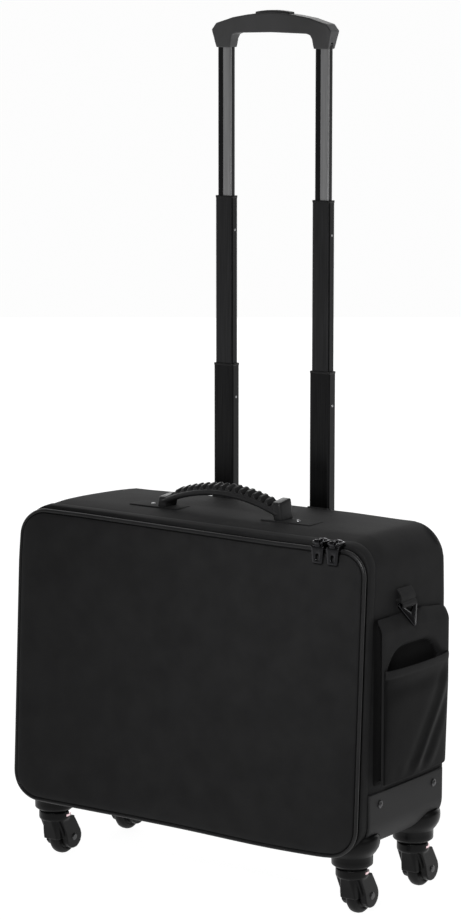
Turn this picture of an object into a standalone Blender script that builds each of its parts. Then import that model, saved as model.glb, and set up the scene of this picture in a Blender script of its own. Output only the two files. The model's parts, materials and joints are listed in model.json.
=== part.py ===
"""Rolling soft-sided makeup train case with a drop-front lid, side pockets, four swivel casters
and a three-stage telescopic trolley handle, shown with the handle pulled out.

Metres. +X is to the case's right seen from the front, +Y runs from the zipped front lid to the
back, +Z is up. The origin is on the floor, in the middle of the case's footprint. Lengths below
are in millimetres and are turned into metres where a mesh is made.
"""

from math import cos, pi, radians, sin

import bmesh
import bpy
from mathutils import Matrix, Vector

MM = 0.001
GAP = 0.3  # clearance between pieces that touch

# Case shell: a rounded rectangle in X and Z, carried along Y.
HALF_WIDTH = 227.0
CASE_BOTTOM = 75.0
CASE_TOP = 410.0
LID_TOP = 407.0
CORNER_R = 30.0
CORNER_STEPS = 6  # facets in each rounded corner of the shell and what wraps it
SHELL_WALL = 3.5
BACK_Y = 95.1
BACK_ROUND = 14.0
FRONT_TOP_Y = -82.7  # the lid's face at LID_TOP
LEAN = 0.0509  # the face moves this far forward for each millimetre down
LID_DEPTH = 9.0
LID_PANEL_THICK = 6.0
LID_RIM = 4.2

# Interior and back.
INNER_BOARD_Y = (74.5, 77.3)
BACK_PANEL_Y = (94.2, 96.7)
BACK_PANEL_INSET = 17.8
BASE_BOARD_THICK = 3.0
DIVIDER_THICK = 5.0
DIVIDER_FRONT_Y = -60.4

# Trolley handle: tube sections are (x, y) outside sizes, tops are heights when pulled out.
TUBE_X = 65.0
TUBE_Y = 86.1
TUBE_WALL = 1.0
TUBE_ROUND = 2.5
HOUSING = (26.7, 15.5)
LOWER = (24.0, 13.0)
MIDDLE = (20.4, 10.3)
UPPER = (16.4, 7.7)
HOUSING_Z = (97.5, 393.0)
LOWER_Z = (354.0, 563.4)
MIDDLE_Z = (518.0, 752.5)
UPPER_Z = (707.0, 929.5)
PIN_DROP = 38.0  # lock pin below the top of the tube it locks into
PIN_R = 2.4

# Grip.
GRIP_DEPTH = 18.0
GRIP_BOTTOM = 917.5
GRIP_TOP = 955.0

# Casters: the axes of their swivels, and the wheel behind each.
CASTER_X = 202.0
CASTER_MID_Y = 1.0
CASTER_Y = 62.0
WHEEL_TRAIL = 15.6
WHEEL_R = 21.0
WHEEL_WIDTH = 13.0
FORK_HALF = 16.0
FORK_INSIDE = 7.6
HOOD_R = 24.0
CUP_BOTTOM = 54.3
STEM_R = 6.0
CUP_FRONT_Y = -88.5  # the front cups stop here, clear of the opening lid

# Side furniture.
GUARD_Y = (-71.0, 79.0)
GUARD_TOP = 138.0
GUARD_THICK = 2.2
GUARD_RIVETS = (("front", -49.4), ("back", 59.6))
GUARD_RIVET_Z = 125.0
POCKET_Y = (-61.2, 75.1)
POCKET_Z = (146.0, 326.5)
POCKET_FACE_X = 239.0
SLIP_Y = (-56.4, 70.6)
SLIP_TOP = 271.0
SLIP_FACE_X = 246.6
LOOP_Y = -4.4
RING_PIVOT = (233.5, 336.0)  # x, z
RING_LEAN = 22.0
RING_WIRE = 1.7

# Carry handle and its patches.
HANDLE_Y = -10.4
HANDLE_SPAN = 86.0
PATCH_X = (56.0, 122.0)
RIVET_X = 97.5

# Zip sliders, each in front of its place on the top run of the zip.
SLIDER_X = (173.0, 192.0)
SLIDER_Z = (407.6, 409.6)
PULL_PIVOT = (FRONT_TOP_Y - 4.4, 408.6)  # y, z

MATERIALS = {
    "nylon": ((0.020, 0.020, 0.021), 0.75, 0.0),
    "lining": ((0.045, 0.045, 0.048), 0.85, 0.0),
    "board": ((0.06, 0.06, 0.06), 0.7, 0.0),
    "rubber": ((0.022, 0.022, 0.023), 0.5, 0.0),
    "plastic": ((0.028, 0.028, 0.030), 0.45, 0.0),
    "wheel": ((0.030, 0.030, 0.031), 0.6, 0.0),
    "tube_black": ((0.010, 0.010, 0.011), 0.25, 0.6),
    "tube_grey": ((0.16, 0.16, 0.165), 0.35, 0.9),
    "steel": ((0.45, 0.45, 0.46), 0.3, 1.0),
    "gunmetal": ((0.09, 0.09, 0.095), 0.3, 1.0),
}


def material(name):
    """The named finish as a Principled material, made once."""
    if name in bpy.data.materials:
        return bpy.data.materials[name]
    made = bpy.data.materials.new(name)
    made.use_nodes = True
    shader = made.node_tree.nodes["Principled BSDF"]
    colour, rough, metal = MATERIALS[name]
    shader.inputs["Base Color"].default_value = (*colour, 1.0)
    shader.inputs["Roughness"].default_value = rough
    shader.inputs["Metallic"].default_value = metal
    return made


def add_object(name, bm, finish, place=(0, 0, 0)):
    """A mesh object made from bm, whose points are in millimetres about place."""
    bmesh.ops.recalc_face_normals(bm, faces=bm.faces)
    bmesh.ops.scale(bm, vec=(MM, MM, MM), verts=bm.verts)
    mesh = bpy.data.meshes.new(name)
    bm.to_mesh(mesh)
    bm.free()
    mesh.materials.append(material(finish))
    mesh.shade_smooth()
    mesh.set_sharp_from_angle(angle=radians(35))
    made = bpy.data.objects.new(name, mesh)
    made.location = Vector(place) * MM
    bpy.context.collection.objects.link(made)
    return made


def combine(base, others, operation):
    """base with every shape in others cut out of it or joined to it, applied to its mesh."""
    for other in others:
        step = base.modifiers.new(operation.title(), "BOOLEAN")
        step.operation = operation
        step.solver = "EXACT"
        step.object = other
        other.hide_render = True
        other.display_type = "WIRE"
    bpy.context.view_layer.update()
    graph = bpy.context.evaluated_depsgraph_get()
    mesh = bpy.data.meshes.new_from_object(base.evaluated_get(graph))
    mesh.name = base.name
    base.modifiers.clear()
    base.data = mesh
    for other in others:
        bpy.data.objects.remove(other, do_unlink=True)
    return base


def rounded(half_x, half_y, radius, centre=(0.0, 0.0), steps=CORNER_STEPS):
    """Points round a rectangle with rounded corners, anticlockwise."""
    points = []
    for quarter, (sx, sy) in enumerate([(1, 1), (-1, 1), (-1, -1), (1, -1)]):
        for step in range(steps + 1):
            angle = (quarter + step / steps) * pi / 2
            x = centre[0] + sx * (half_x - radius) + radius * cos(angle)
            y = centre[1] + sy * (half_y - radius) + radius * sin(angle)
            points.append((x, y))
    return points


def case_outline(inset=0.0, top=CASE_TOP):
    """The case's rounded outline in x and z, moved inwards by inset."""
    middle = (CASE_BOTTOM + top) / 2
    half_height = (top - CASE_BOTTOM) / 2
    return rounded(HALF_WIDTH - inset, half_height - inset, max(CORNER_R - inset, 2.0), (0, middle))


def front_y(z):
    """The lid's face at height z."""
    return FRONT_TOP_Y - (LID_TOP - z) * LEAN


def prism(name, outline, axis, low, high, finish, place=(0, 0, 0)):
    """outline, drawn across the two other axes in X, Y, Z order, carried along axis."""
    bm = bmesh.new()
    index = "XYZ".index(axis)
    corners = []
    for a, b in outline:
        point = [a, b]
        point.insert(index, low)
        corners.append(bm.verts.new(point))
    face = bm.faces.new(corners)
    top = bmesh.ops.extrude_face_region(bm, geom=[face])["geom"]
    step = [0.0, 0.0, 0.0]
    step[index] = high - low
    moved = [item for item in top if isinstance(item, bmesh.types.BMVert)]
    bmesh.ops.translate(bm, vec=step, verts=moved)
    return add_object(name, bm, finish, place)


def box(name, x, y, z, finish="plastic"):
    """A block between pairs of x, y and z."""
    return prism(name, [(x[0], y[0]), (x[1], y[0]), (x[1], y[1]), (x[0], y[1])], "Z", *z, finish)


def turned(name, profile, axis, finish, place=(0, 0, 0), steps=32, closed=False):
    """A profile of (radius, height) points spun round axis through place."""
    bm = bmesh.new()
    points = [bm.verts.new((radius, 0.0, height)) for radius, height in profile]
    edges = [bm.edges.new(pair) for pair in zip(points, points[1:])]
    if closed:
        edges.append(bm.edges.new((points[-1], points[0])))
    bmesh.ops.spin(bm, geom=points + edges, cent=(0, 0, 0), axis=(0, 0, 1), angle=2 * pi,
                   steps=steps, use_merge=True)
    bmesh.ops.remove_doubles(bm, verts=bm.verts, dist=0.01)
    if axis != "Z":
        turn = Matrix.Rotation(pi / 2, 4, "Y") if axis == "X" else Matrix.Rotation(-pi / 2, 4, "X")
        bmesh.ops.transform(bm, matrix=turn, verts=bm.verts)
    return add_object(name, bm, finish, place)


def pipe(name, loops, finish, place=(0, 0, 0)):
    """A ring-shaped skin through closed loops of points; the last loop joins the first."""
    bm = bmesh.new()
    rows = [[bm.verts.new(point) for point in loop] for loop in loops]
    for row, after in zip(rows, rows[1:] + rows[:1]):
        for i in range(len(row)):
            j = (i + 1) % len(row)
            bm.faces.new((row[i], row[j], after[j], after[i]))
    return add_object(name, bm, finish, place)


def leaning_loop(inset, depth, top):
    """The case outline at a distance behind the lid's leaning face."""
    return [(x, front_y(z) + depth, z) for x, z in case_outline(inset, top)]


def upright_loop(inset, y, top=CASE_TOP):
    """The case outline at one y."""
    return [(x, y, z) for x, z in case_outline(inset, top)]


def flat_tube(name, size, heights, x, finish):
    """A rounded rectangular tube standing at (x, TUBE_Y)."""
    outer = rounded(size[0] / 2, size[1] / 2, TUBE_ROUND, (x, TUBE_Y), 3)
    inner = rounded(size[0] / 2 - TUBE_WALL, size[1] / 2 - TUBE_WALL, TUBE_ROUND - TUBE_WALL,
                    (x, TUBE_Y), 3)
    low, high = heights
    return pipe(name, [[(a, b, low) for a, b in outer], [(a, b, high) for a, b in outer],
                       [(a, b, high) for a, b in inner], [(a, b, low) for a, b in inner]], finish)


def side_name(side):
    return "right" if side > 0 else "left"


def mirrored(outline, side):
    """An outline whose first number is x, mirrored for the left side and kept anticlockwise."""
    if side > 0:
        return list(outline)
    return [(-a, b) for a, b in reversed(outline)]


def span(side, low, high):
    """A pair of x values on the given side, in rising order."""
    return tuple(sorted((side * low, side * high)))


def make_shell():
    """Side, top and bottom wall of the case, its back panel and its stiffening boards."""
    start = LID_DEPTH + GAP + 2.5 + GAP
    back_arc = []
    for step in range(5):
        angle = step / 4 * pi / 2
        back_arc.append(upright_loop(BACK_ROUND * (1 - cos(angle)),
                                     BACK_Y - BACK_ROUND + BACK_ROUND * sin(angle)))
    loops = [leaning_loop(SHELL_WALL, start, CASE_TOP), leaning_loop(0, start, CASE_TOP)]
    loops += back_arc
    loops += [upright_loop(BACK_ROUND + SHELL_WALL, BACK_Y),
              upright_loop(SHELL_WALL, BACK_Y - BACK_ROUND)]
    shell = pipe("shell_gusset", loops, "nylon")
    cuts = []
    for side in (-1, 1):
        half = (LOWER[0] / 2 + 0.5, LOWER[1] / 2 + 0.5)
        hole = rounded(*half, TUBE_ROUND, (side * TUBE_X, TUBE_Y), 3)
        cuts.append(prism("tube_exit", hole, "Z", 390, 420, "nylon"))
        cuts.append(turned("rivet_hole", [(0, 400), (1.9, 400), (1.9, 420), (0, 420)], "Z",
                           "nylon", (side * RIVET_X, HANDLE_Y, 0), 12))
        for _, y in GUARD_RIVETS:
            cuts.append(turned("rivet_hole", [(0, -12), (1.9, -12), (1.9, 12), (0, 12)], "X",
                               "nylon", (side * HALF_WIDTH, y, GUARD_RIVET_Z), 12))
    combine(shell, cuts, "DIFFERENCE")

    prism("back_panel", case_outline(BACK_PANEL_INSET), "Y", *BACK_PANEL_Y, "nylon")
    prism("inner_back_board", case_outline(SHELL_WALL + 2 * GAP), "Y", *INNER_BOARD_Y, "lining")
    floor = CASE_BOTTOM + SHELL_WALL + GAP
    board = [(-192, -68), (192, -68), (192, INNER_BOARD_Y[0] - GAP), (-192, INNER_BOARD_Y[0] - GAP)]
    prism("base_board", board, "Z", floor, floor + BASE_BOARD_THICK, "board")
    ceiling = CASE_TOP - SHELL_WALL - GAP
    box("divider", (-DIVIDER_THICK / 2, DIVIDER_THICK / 2),
        (DIVIDER_FRONT_Y, INNER_BOARD_Y[0] - GAP), (floor + BASE_BOARD_THICK + GAP, ceiling),
        "lining")
    depth = LID_DEPTH + GAP
    pipe("body_zip", [leaning_loop(3.5, depth, LID_TOP), leaning_loop(1, depth, LID_TOP),
                      leaning_loop(1, depth + 2.5, LID_TOP),
                      leaning_loop(3.5, depth + 2.5, LID_TOP)], "nylon")


def make_lid():
    """Drop-front lid: a padded panel inside a rim that carries the lid's half of the zip."""
    bm = bmesh.new()
    inset = LID_RIM + 2 * GAP
    front = [bm.verts.new(point) for point in leaning_loop(inset, 0, LID_TOP)]
    back = [bm.verts.new(point) for point in leaning_loop(inset, LID_PANEL_THICK, LID_TOP)]
    bm.faces.new(front)
    bm.faces.new(list(reversed(back)))
    for i in range(len(front)):
        j = (i + 1) % len(front)
        bm.faces.new((front[j], front[i], back[i], back[j]))
    add_object("lid_panel", bm, "nylon")
    pipe("lid_rim", [leaning_loop(LID_RIM, 0, LID_TOP), leaning_loop(0, 0, LID_TOP),
                     leaning_loop(0, LID_DEPTH, LID_TOP), leaning_loop(LID_RIM, LID_DEPTH, LID_TOP)],
         "nylon")


def make_slider(index, x):
    """Zip slider over the top run of the zip, with a pull tab looped round its front bar."""
    name = "ab"[index]
    pivot_y, pivot_z = PULL_PIVOT
    plate = box("slider_" + name, (x - 7, x + 7), (pivot_y - 1.3, pivot_y + 15.7), SLIDER_Z,
                "gunmetal")
    combine(plate, [box("window", (x - 4, x + 4), (pivot_y + 1.3, pivot_y + 5.1), (400, 420))],
            "DIFFERENCE")
    eye = turned("pull_" + name, [(1.95, -3.5), (3.0, -3.5), (3.0, 3.5), (1.95, 3.5)], "X",
                 "gunmetal", (x, pivot_y, pivot_z), 12, closed=True)
    neck = [(-3.5, -2.4), (-3.5, -5), (-7.5, -5), (-6, -22), (6, -22), (7.5, -5), (3.5, -5),
            (3.5, -2.4)]
    combine(eye, [prism("tab", neck, "Y", -1.1, 1.1, "gunmetal", (x, pivot_y, pivot_z))], "UNION")


def make_trolley():
    """Two fixed housings with a foot bridge, three sliding stages of paired tubes, and lock pins."""
    for side in (-1, 1):
        label = side_name(side)
        x = side * TUBE_X
        flat_tube("housing_" + label, HOUSING, HOUSING_Z, x, "steel")
        lower = flat_tube("lower_tube_" + label, LOWER, LOWER_Z, x, "tube_black")
        middle = flat_tube("middle_tube_" + label, MIDDLE, MIDDLE_Z, x, "tube_black")
        upper = flat_tube("upper_tube_" + label, UPPER, UPPER_Z, x, "tube_grey")
        for tube, height in ((lower, LOWER_Z[1] - PIN_DROP), (middle, MIDDLE_Z[1] - PIN_DROP),
                             (upper, MIDDLE_Z[1] - PIN_DROP)):
            hole = [(0, 0), (PIN_R + GAP, 0), (PIN_R + GAP, 20), (0, 20)]
            combine(tube, [turned("pin_hole", hole, "X", "steel", (x, TUBE_Y, height), 12)],
                    "DIFFERENCE")
        tip = MIDDLE[0] / 2 - TUBE_WALL - GAP
        turned("lock_pin_" + label, [(0, 3.2), (PIN_R, 3.2), (PIN_R, tip - 0.4),
                                     (PIN_R - 0.4, tip), (0, tip)], "X", "steel",
               (x, TUBE_Y, MIDDLE_Z[1] - PIN_DROP), 12)
    foot_y = (TUBE_Y - 7.4, TUBE_Y + 7.4)
    bridge = box("housing_bridge", (-TUBE_X - 16, TUBE_X + 16), foot_y,
                 (CASE_BOTTOM + 17, HOUSING_Z[0] - GAP), "plastic")
    plugs = []
    for side in (-1, 1):
        plug = rounded(11.0, 5.6, 1.5, (side * TUBE_X, TUBE_Y), 3)
        plugs.append(prism("plug", plug, "Z", HOUSING_Z[0] - 2, HOUSING_Z[0] + 12, "plastic"))
    combine(bridge, plugs, "UNION")


def grip_top(x):
    """Height of the grip's arched back at x."""
    return GRIP_TOP - 14.0 * (x / 77.0) ** 2


def make_grip():
    """Moulded grip over both upper tubes, its push button and the release linkage."""
    arch = [(x, grip_top(x)) for x in (-71, -60, -48, -32, -16, 0, 16, 32, 48, 60, 71)]
    outer = [(-73, GRIP_BOTTOM), (-75.5, 936)] + arch + [(75.5, 936), (73, GRIP_BOTTOM)]
    inner = [(56, GRIP_BOTTOM), (53, 927), (50, 931.5), (45, 933), (0, 934), (-45, 933),
             (-50, 931.5), (-53, 927), (-56, GRIP_BOTTOM)]
    half = GRIP_DEPTH / 2
    grip = prism("grip", outer + inner, "Y", TUBE_Y - half, TUBE_Y + half, "plastic")
    slot = (TUBE_Y - 5.0, TUBE_Y + 5.0)
    channel = (TUBE_Y - 3.0, TUBE_Y + 3.0)
    cuts = [box("button_slot", (-23.3, 23.3), slot, (939.0, 975.0)),
            box("link_channel", (-69, 69), channel, (936.0, 943.0))]
    for side in (-1, 1):
        socket = rounded(UPPER[0] / 2 + GAP, UPPER[1] / 2 + GAP, TUBE_ROUND, (side * TUBE_X, TUBE_Y), 3)
        cuts.append(prism("socket", socket, "Z", GRIP_BOTTOM - 5, UPPER_Z[1] + GAP, "plastic"))
        cuts.append(turned("rod_bore", [(0, 925), (2.6, 925), (2.6, 937), (0, 937)], "Z", "plastic",
                           (side * TUBE_X, TUBE_Y, 0), 12))
    combine(grip, cuts, "DIFFERENCE")

    button_top = [(x, 957.8 - 2.0 * (x / 22.8) ** 2) for x in (22.8, 15, 7.5, 0, -7.5, -15, -22.8)]
    cap = [(-22.8, 942.9), (22.8, 942.9)] + button_top
    prism("button", cap, "Y", TUBE_Y - 4.7, TUBE_Y + 4.7, "plastic")

    link = box("release_link", (-67, 67), (TUBE_Y - 2.2, TUBE_Y + 2.2), (939.4, 942.6), "steel")
    rods = []
    for side in (-1, 1):
        rods.append(turned("rod", [(0, UPPER_Z[0] + 14), (1.8, UPPER_Z[0] + 14), (1.8, 941), (0, 941)],
                           "Z", "steel", (side * TUBE_X, TUBE_Y, 0), 12))
    combine(link, rods, "UNION")


def make_carry_handle():
    """Moulded rubber handle with solid ends, a patch under each end and a rivet through each."""
    foot = CASE_TOP + GAP + 1.6 + GAP
    under = [(60, foot + 3), (49, foot + 8), (30, foot + 14), (0, foot + 17)]
    over = [(0, 441), (30, 439), (58, 432.5), (78, 425.5), (HANDLE_SPAN, 420)]
    right = [(HANDLE_SPAN, foot), (66, foot)] + under
    left = [(-x, z) for x, z in reversed([(HANDLE_SPAN, foot), (66, foot)] + under[:-1])]
    top_left = [(-x, z) for x, z in reversed(over[1:])]
    handle = prism("carry_handle", right + left + top_left + over, "Y", HANDLE_Y - 12, HANDLE_Y + 12,
                   "rubber")
    edge = handle.modifiers.new("Soft edges", "BEVEL")
    edge.width = 3.0 * MM
    edge.segments = 2
    edge.limit_method = "ANGLE"
    edge.angle_limit = radians(60)
    for side in (-1, 1):
        label = side_name(side)
        patch = box("handle_patch_" + label, span(side, *PATCH_X), (HANDLE_Y - 14, HANDLE_Y + 14),
                    (CASE_TOP + GAP, CASE_TOP + GAP + 1.6), "rubber")
        bore = [(0, 400), (1.9, 400), (1.9, 420), (0, 420)]
        combine(patch, [turned("hole", bore, "Z", "steel", (side * RIVET_X, HANDLE_Y, 0), 12)],
                "DIFFERENCE")
        head = CASE_TOP + 2 * GAP + 1.6
        turned("handle_rivet_" + label, [(0, 404), (1.6, 404), (1.6, head), (3.6, head),
                                         (3.0, head + 1.1), (0, head + 1.7)],
               "Z", "steel", (side * RIVET_X, HANDLE_Y, 0), 12)


def make_guard(side):
    """Kick plate wrapped round a lower corner of the shell and held by two rivets."""
    label = side_name(side)
    inner = []
    outer = []
    for offset, points in ((GAP, inner), (GAP + GUARD_THICK, outer)):
        radius = CORNER_R + offset
        points.append((HALF_WIDTH + offset, GUARD_TOP))
        for step in range(CORNER_STEPS + 1):
            angle = -step / CORNER_STEPS * pi / 2
            points.append((HALF_WIDTH - CORNER_R + radius * cos(angle),
                           CASE_BOTTOM + CORNER_R + radius * sin(angle)))
    outline = mirrored(inner + list(reversed(outer)), side)
    guard = prism("side_guard_" + label, outline, "Y", *GUARD_Y, "plastic")
    holes = []
    for place, y in GUARD_RIVETS:
        holes.append(turned("hole", [(0, -12), (1.9, -12), (1.9, 12), (0, 12)], "X", "steel",
                            (side * HALF_WIDTH, y, GUARD_RIVET_Z), 12))
        face = GAP + GUARD_THICK + GAP
        head = [(0, -5), (1.6, -5), (1.6, face), (4.2, face), (3.6, face + 1.2), (0, face + 1.9)]
        rivet = turned(f"guard_rivet_{label}_{place}", head, "X", "steel", steps=12,
                       place=(side * HALF_WIDTH, y, GUARD_RIVET_Z))
        if side < 0:
            rivet.data.transform(Matrix.Rotation(pi, 4, "Z"))
    combine(guard, holes, "DIFFERENCE")


def make_pocket(side):
    """Padded side pocket with an open-topped slip pocket on its face."""
    label = side_name(side)
    centre = (sum(POCKET_Y) / 2, sum(POCKET_Z) / 2)
    half = ((POCKET_Y[1] - POCKET_Y[0]) / 2, (POCKET_Z[1] - POCKET_Z[0]) / 2)
    pocket = prism("side_pocket_" + label, rounded(*half, 9, centre), "X",
                   *span(side, HALF_WIDTH + GAP, POCKET_FACE_X), "nylon")
    wedge = mirrored([(232, POCKET_Z[1] + 5), (232, POCKET_Z[1]), (POCKET_FACE_X, 313),
                      (POCKET_FACE_X + 6, 313), (POCKET_FACE_X + 6, POCKET_Z[1] + 5)], side)
    combine(pocket, [prism("slope", wedge, "Y", -90, 110, "nylon")], "DIFFERENCE")
    slip = box("slip", span(side, POCKET_FACE_X - 1, SLIP_FACE_X), SLIP_Y, (POCKET_Z[0] + 2, SLIP_TOP))
    combine(pocket, [slip], "UNION")
    wall = 1.2
    cavity = box("cavity", span(side, POCKET_FACE_X, SLIP_FACE_X - wall),
                 (SLIP_Y[0] + wall, SLIP_Y[1] - wall), (POCKET_Z[0] + 2 + wall, SLIP_TOP + 20))
    combine(pocket, [cavity], "DIFFERENCE")


def make_strap_ring(side):
    """Webbing loop sewn to the shell, and the triangular ring that hangs in it."""
    label = side_name(side)
    x, z = RING_PIVOT
    wall_x = HALF_WIDTH + GAP
    eye = [(x + 4 * cos(a), z + 4 * sin(a)) for a in [radians(d) for d in range(-135, 60, 30)]]
    tail = [(wall_x + 2.4, z + 8), (wall_x + 2.4, z + 16), (wall_x, z + 16), (wall_x, z - 3)]
    loop = prism("ring_loop_" + label, mirrored(eye + tail, side), "Y", LOOP_Y - 14, LOOP_Y + 14,
                 "nylon")
    bore = [(0, -20), (2.3, -20), (2.3, 20), (0, 20)]
    combine(loop, [turned("bore", bore, "Y", "nylon", (side * x, LOOP_Y, z), 12)], "DIFFERENCE")

    shape = [(-18, 0), (-6, -22), (0, -25.5), (6, -22), (18, 0)]
    curve = bpy.data.curves.new("strap_ring_" + label, "CURVE")
    curve.dimensions = "3D"
    curve.bevel_depth = RING_WIRE * MM
    curve.bevel_resolution = 1
    spline = curve.splines.new("POLY")
    points = soft_corners(shape, 5.0)
    spline.points.add(len(points) - 1)
    lean = radians(RING_LEAN)
    for point, (across, down) in zip(spline.points, points):
        point.co = (-side * down * sin(lean) * MM, across * MM, down * cos(lean) * MM, 1)
    spline.use_cyclic_u = True
    curve.materials.append(material("gunmetal"))
    ring = bpy.data.objects.new("strap_ring_" + label, curve)
    ring.location = Vector((side * x, LOOP_Y, z)) * MM
    bpy.context.collection.objects.link(ring)


def soft_corners(corners, cut):
    """A closed outline whose corners are each replaced by a short quadratic bend."""
    points = []
    for i, corner in enumerate(corners):
        here = Vector(corner)
        before = Vector(corners[i - 1])
        after = Vector(corners[(i + 1) % len(corners)])
        start = here + (before - here).normalized() * min(cut, (before - here).length / 2.2)
        end = here + (after - here).normalized() * min(cut, (after - here).length / 2.2)
        for t in (0.0, 0.5, 1.0):
            points.append((1 - t) ** 2 * start + 2 * t * (1 - t) * here + t ** 2 * end)
    return points


def make_cup(label, axis, end):
    """Corner cup under the shell that takes the fork's stem."""
    profile = [(0, CUP_BOTTOM), (17.5, CUP_BOTTOM), (22.5, 58.5), (22.5, 69), (26, 73), (30, 83),
               (30, 92), (0, 92)]
    cup = turned("caster_cup_" + label, profile, "Z", "plastic", axis, 28)
    case = case_outline(-(GAP + GUARD_THICK + GAP))
    cuts = [prism("case_space", case, "Y", -140, 140, "plastic"),
            turned("stem_bore", [(0, 50), (STEM_R + GAP, 50), (STEM_R + GAP, 70), (0, 70)], "Z",
                   "plastic", axis, 16)]
    if end < 0:
        cuts.append(box("lid_space", (axis[0] - 50, axis[0] + 50), (-140, CUP_FRONT_Y), (40, 100)))
    combine(cup, cuts, "DIFFERENCE")


def make_fork(label, axis):
    """Swivel fork: two arms down to the axle, a hood over the wheel, a crown and a stem."""
    hub = (WHEEL_TRAIL, WHEEL_R)
    centre = (axis[0], axis[1] + hub[0], hub[1])
    hood = [(hub[0] + HOOD_R * cos(a), hub[1] + HOOD_R * sin(a))
            for a in [radians(d) for d in range(62, 99, 12)]]
    foot = [(hub[0] + 13.5 * cos(a), hub[1] + 13.5 * sin(a))
            for a in [radians(d) for d in range(-150, 31, 20)]]
    arms = foot + [(21, 38), (15.5, 46.5), (-8, 47), (-7, 43), (1, 27)]
    fork = prism("fork_" + label, arms, "X", -FORK_HALF, FORK_HALF, "plastic", axis)
    front = [(2, 20.5), (8, 45)] + hood + [(-15.2, 47), (-11.5, 34), (-8.4, 20.5)]
    plan = [(10.3, 30), (-10.3, 30), (-10.3, -5), (-9.2, -9.5), (-6, -14), (-3.5, -15.2),
            (3.5, -15.2), (6, -14), (9.2, -9.5), (10.3, -5)]
    nose = prism("nose", front, "X", -12, 12, "plastic", axis)
    combine(nose, [prism("plan", plan, "Z", 10, 60, "plastic", axis)], "INTERSECT")
    crown = turned("crown", [(0, 44), (17, 44), (18, 46), (18, 54), (0, 54)], "Z", "plastic", axis,
                   28)
    combine(crown, [box("notch", (axis[0] - 30, axis[0] + 30), (axis[1] + 5, axis[1] + 40), (47, 60))],
            "DIFFERENCE")
    stem = turned("stem", [(0, 46), (STEM_R, 46), (STEM_R, 69), (0, 69)], "Z", "plastic", axis, 16)
    combine(fork, [nose, crown, stem], "UNION")
    room = WHEEL_R + 1.6
    combine(fork, [turned("wheel_space", [(0, -FORK_INSIDE), (room, -FORK_INSIDE),
                                          (room, FORK_INSIDE), (0, FORK_INSIDE)], "X", "plastic",
                          centre, 32),
                   turned("axle_hole", [(0, -30), (2.6, -30), (2.6, 30), (0, 30)], "X", "plastic",
                          centre, 12)], "DIFFERENCE")


def make_wheel(label, centre):
    """Wheel bored for its axle, and the axle with a head outside each arm of the fork."""
    half = WHEEL_WIDTH / 2
    tread = [(2.7, -half), (WHEEL_R - 4, -half), (WHEEL_R - 1, -half + 1.8),
             (WHEEL_R, -half + 4), (WHEEL_R, half - 4), (WHEEL_R - 1, half - 1.8),
             (WHEEL_R - 4, half), (2.7, half)]
    turned("wheel_" + label, tread, "X", "wheel", centre, 28, closed=True)
    pin = [(0, -FORK_HALF - 1.5), (3.0, -FORK_HALF - 1.5), (4.2, -FORK_HALF - GAP),
           (2.3, -FORK_HALF - GAP), (2.3, FORK_HALF + GAP), (4.2, FORK_HALF + GAP),
           (3.0, FORK_HALF + 1.5), (0, FORK_HALF + 1.5)]
    turned("axle_" + label, pin, "X", "steel", centre, 12)


def make_caster(side, end):
    """One caster: cup, fork, and a wheel that trails behind the swivel."""
    label = ("front" if end < 0 else "back") + "_" + side_name(side)
    axis = (side * CASTER_X, CASTER_MID_Y + end * CASTER_Y, 0)
    make_cup(label, axis, end)
    make_fork(label, axis)
    make_wheel(label, (axis[0], axis[1] + WHEEL_TRAIL, WHEEL_R))


for old in list(bpy.data.objects):
    bpy.data.objects.remove(old, do_unlink=True)

make_shell()
make_lid()
for number, position in enumerate(SLIDER_X):
    make_slider(number, position)
make_trolley()
make_grip()
make_carry_handle()
for which in (-1, 1):
    make_guard(which)
    make_pocket(which)
    make_strap_ring(which)
    make_caster(which, -1)
    make_caster(which, 1)
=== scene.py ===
"""Rolling makeup train case: fabric, rubber, moulded plastic and metal over the fixed frame.

Lengths are in millimetres and are turned into metres where a mesh is made. +X is to the case's
right seen from the front, +Y runs from the zipped front lid to the back, +Z is up.
"""

import json

import bmesh
import bpy
import numpy as np
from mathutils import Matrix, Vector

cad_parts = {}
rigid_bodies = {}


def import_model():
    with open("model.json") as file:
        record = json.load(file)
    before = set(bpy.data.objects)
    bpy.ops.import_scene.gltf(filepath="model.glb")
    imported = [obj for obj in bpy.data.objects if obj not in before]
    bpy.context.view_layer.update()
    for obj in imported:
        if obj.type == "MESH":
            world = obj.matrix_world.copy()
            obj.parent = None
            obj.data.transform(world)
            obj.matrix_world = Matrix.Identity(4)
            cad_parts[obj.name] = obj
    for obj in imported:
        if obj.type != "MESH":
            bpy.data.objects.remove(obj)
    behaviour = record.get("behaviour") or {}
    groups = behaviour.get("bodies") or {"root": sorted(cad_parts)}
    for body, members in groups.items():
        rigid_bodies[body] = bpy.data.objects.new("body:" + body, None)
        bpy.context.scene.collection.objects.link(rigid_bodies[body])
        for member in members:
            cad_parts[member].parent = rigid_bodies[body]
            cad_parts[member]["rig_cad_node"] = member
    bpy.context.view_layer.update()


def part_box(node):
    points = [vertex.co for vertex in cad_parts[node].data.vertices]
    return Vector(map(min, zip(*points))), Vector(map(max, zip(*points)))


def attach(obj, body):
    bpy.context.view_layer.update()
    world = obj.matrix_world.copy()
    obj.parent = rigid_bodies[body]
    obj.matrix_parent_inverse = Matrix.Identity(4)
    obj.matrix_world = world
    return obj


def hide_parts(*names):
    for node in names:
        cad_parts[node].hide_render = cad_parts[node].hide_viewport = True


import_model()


# Case body: one sleeve of black ballistic nylon over stiff board, lined inside. The front edge
# carries a folded reinforcing band about 13 mm wide, and the back edge is turned round to the
# back panel. Two slots in the top back edge let the trolley tubes out.
MM = 0.001
HALF_WIDTH = 227.0
CASE_BOTTOM = 75.0
CASE_TOP = 410.0
CORNER = 30.0
BACK_Y = 95.1
TUBE_X = 65.0
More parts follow.
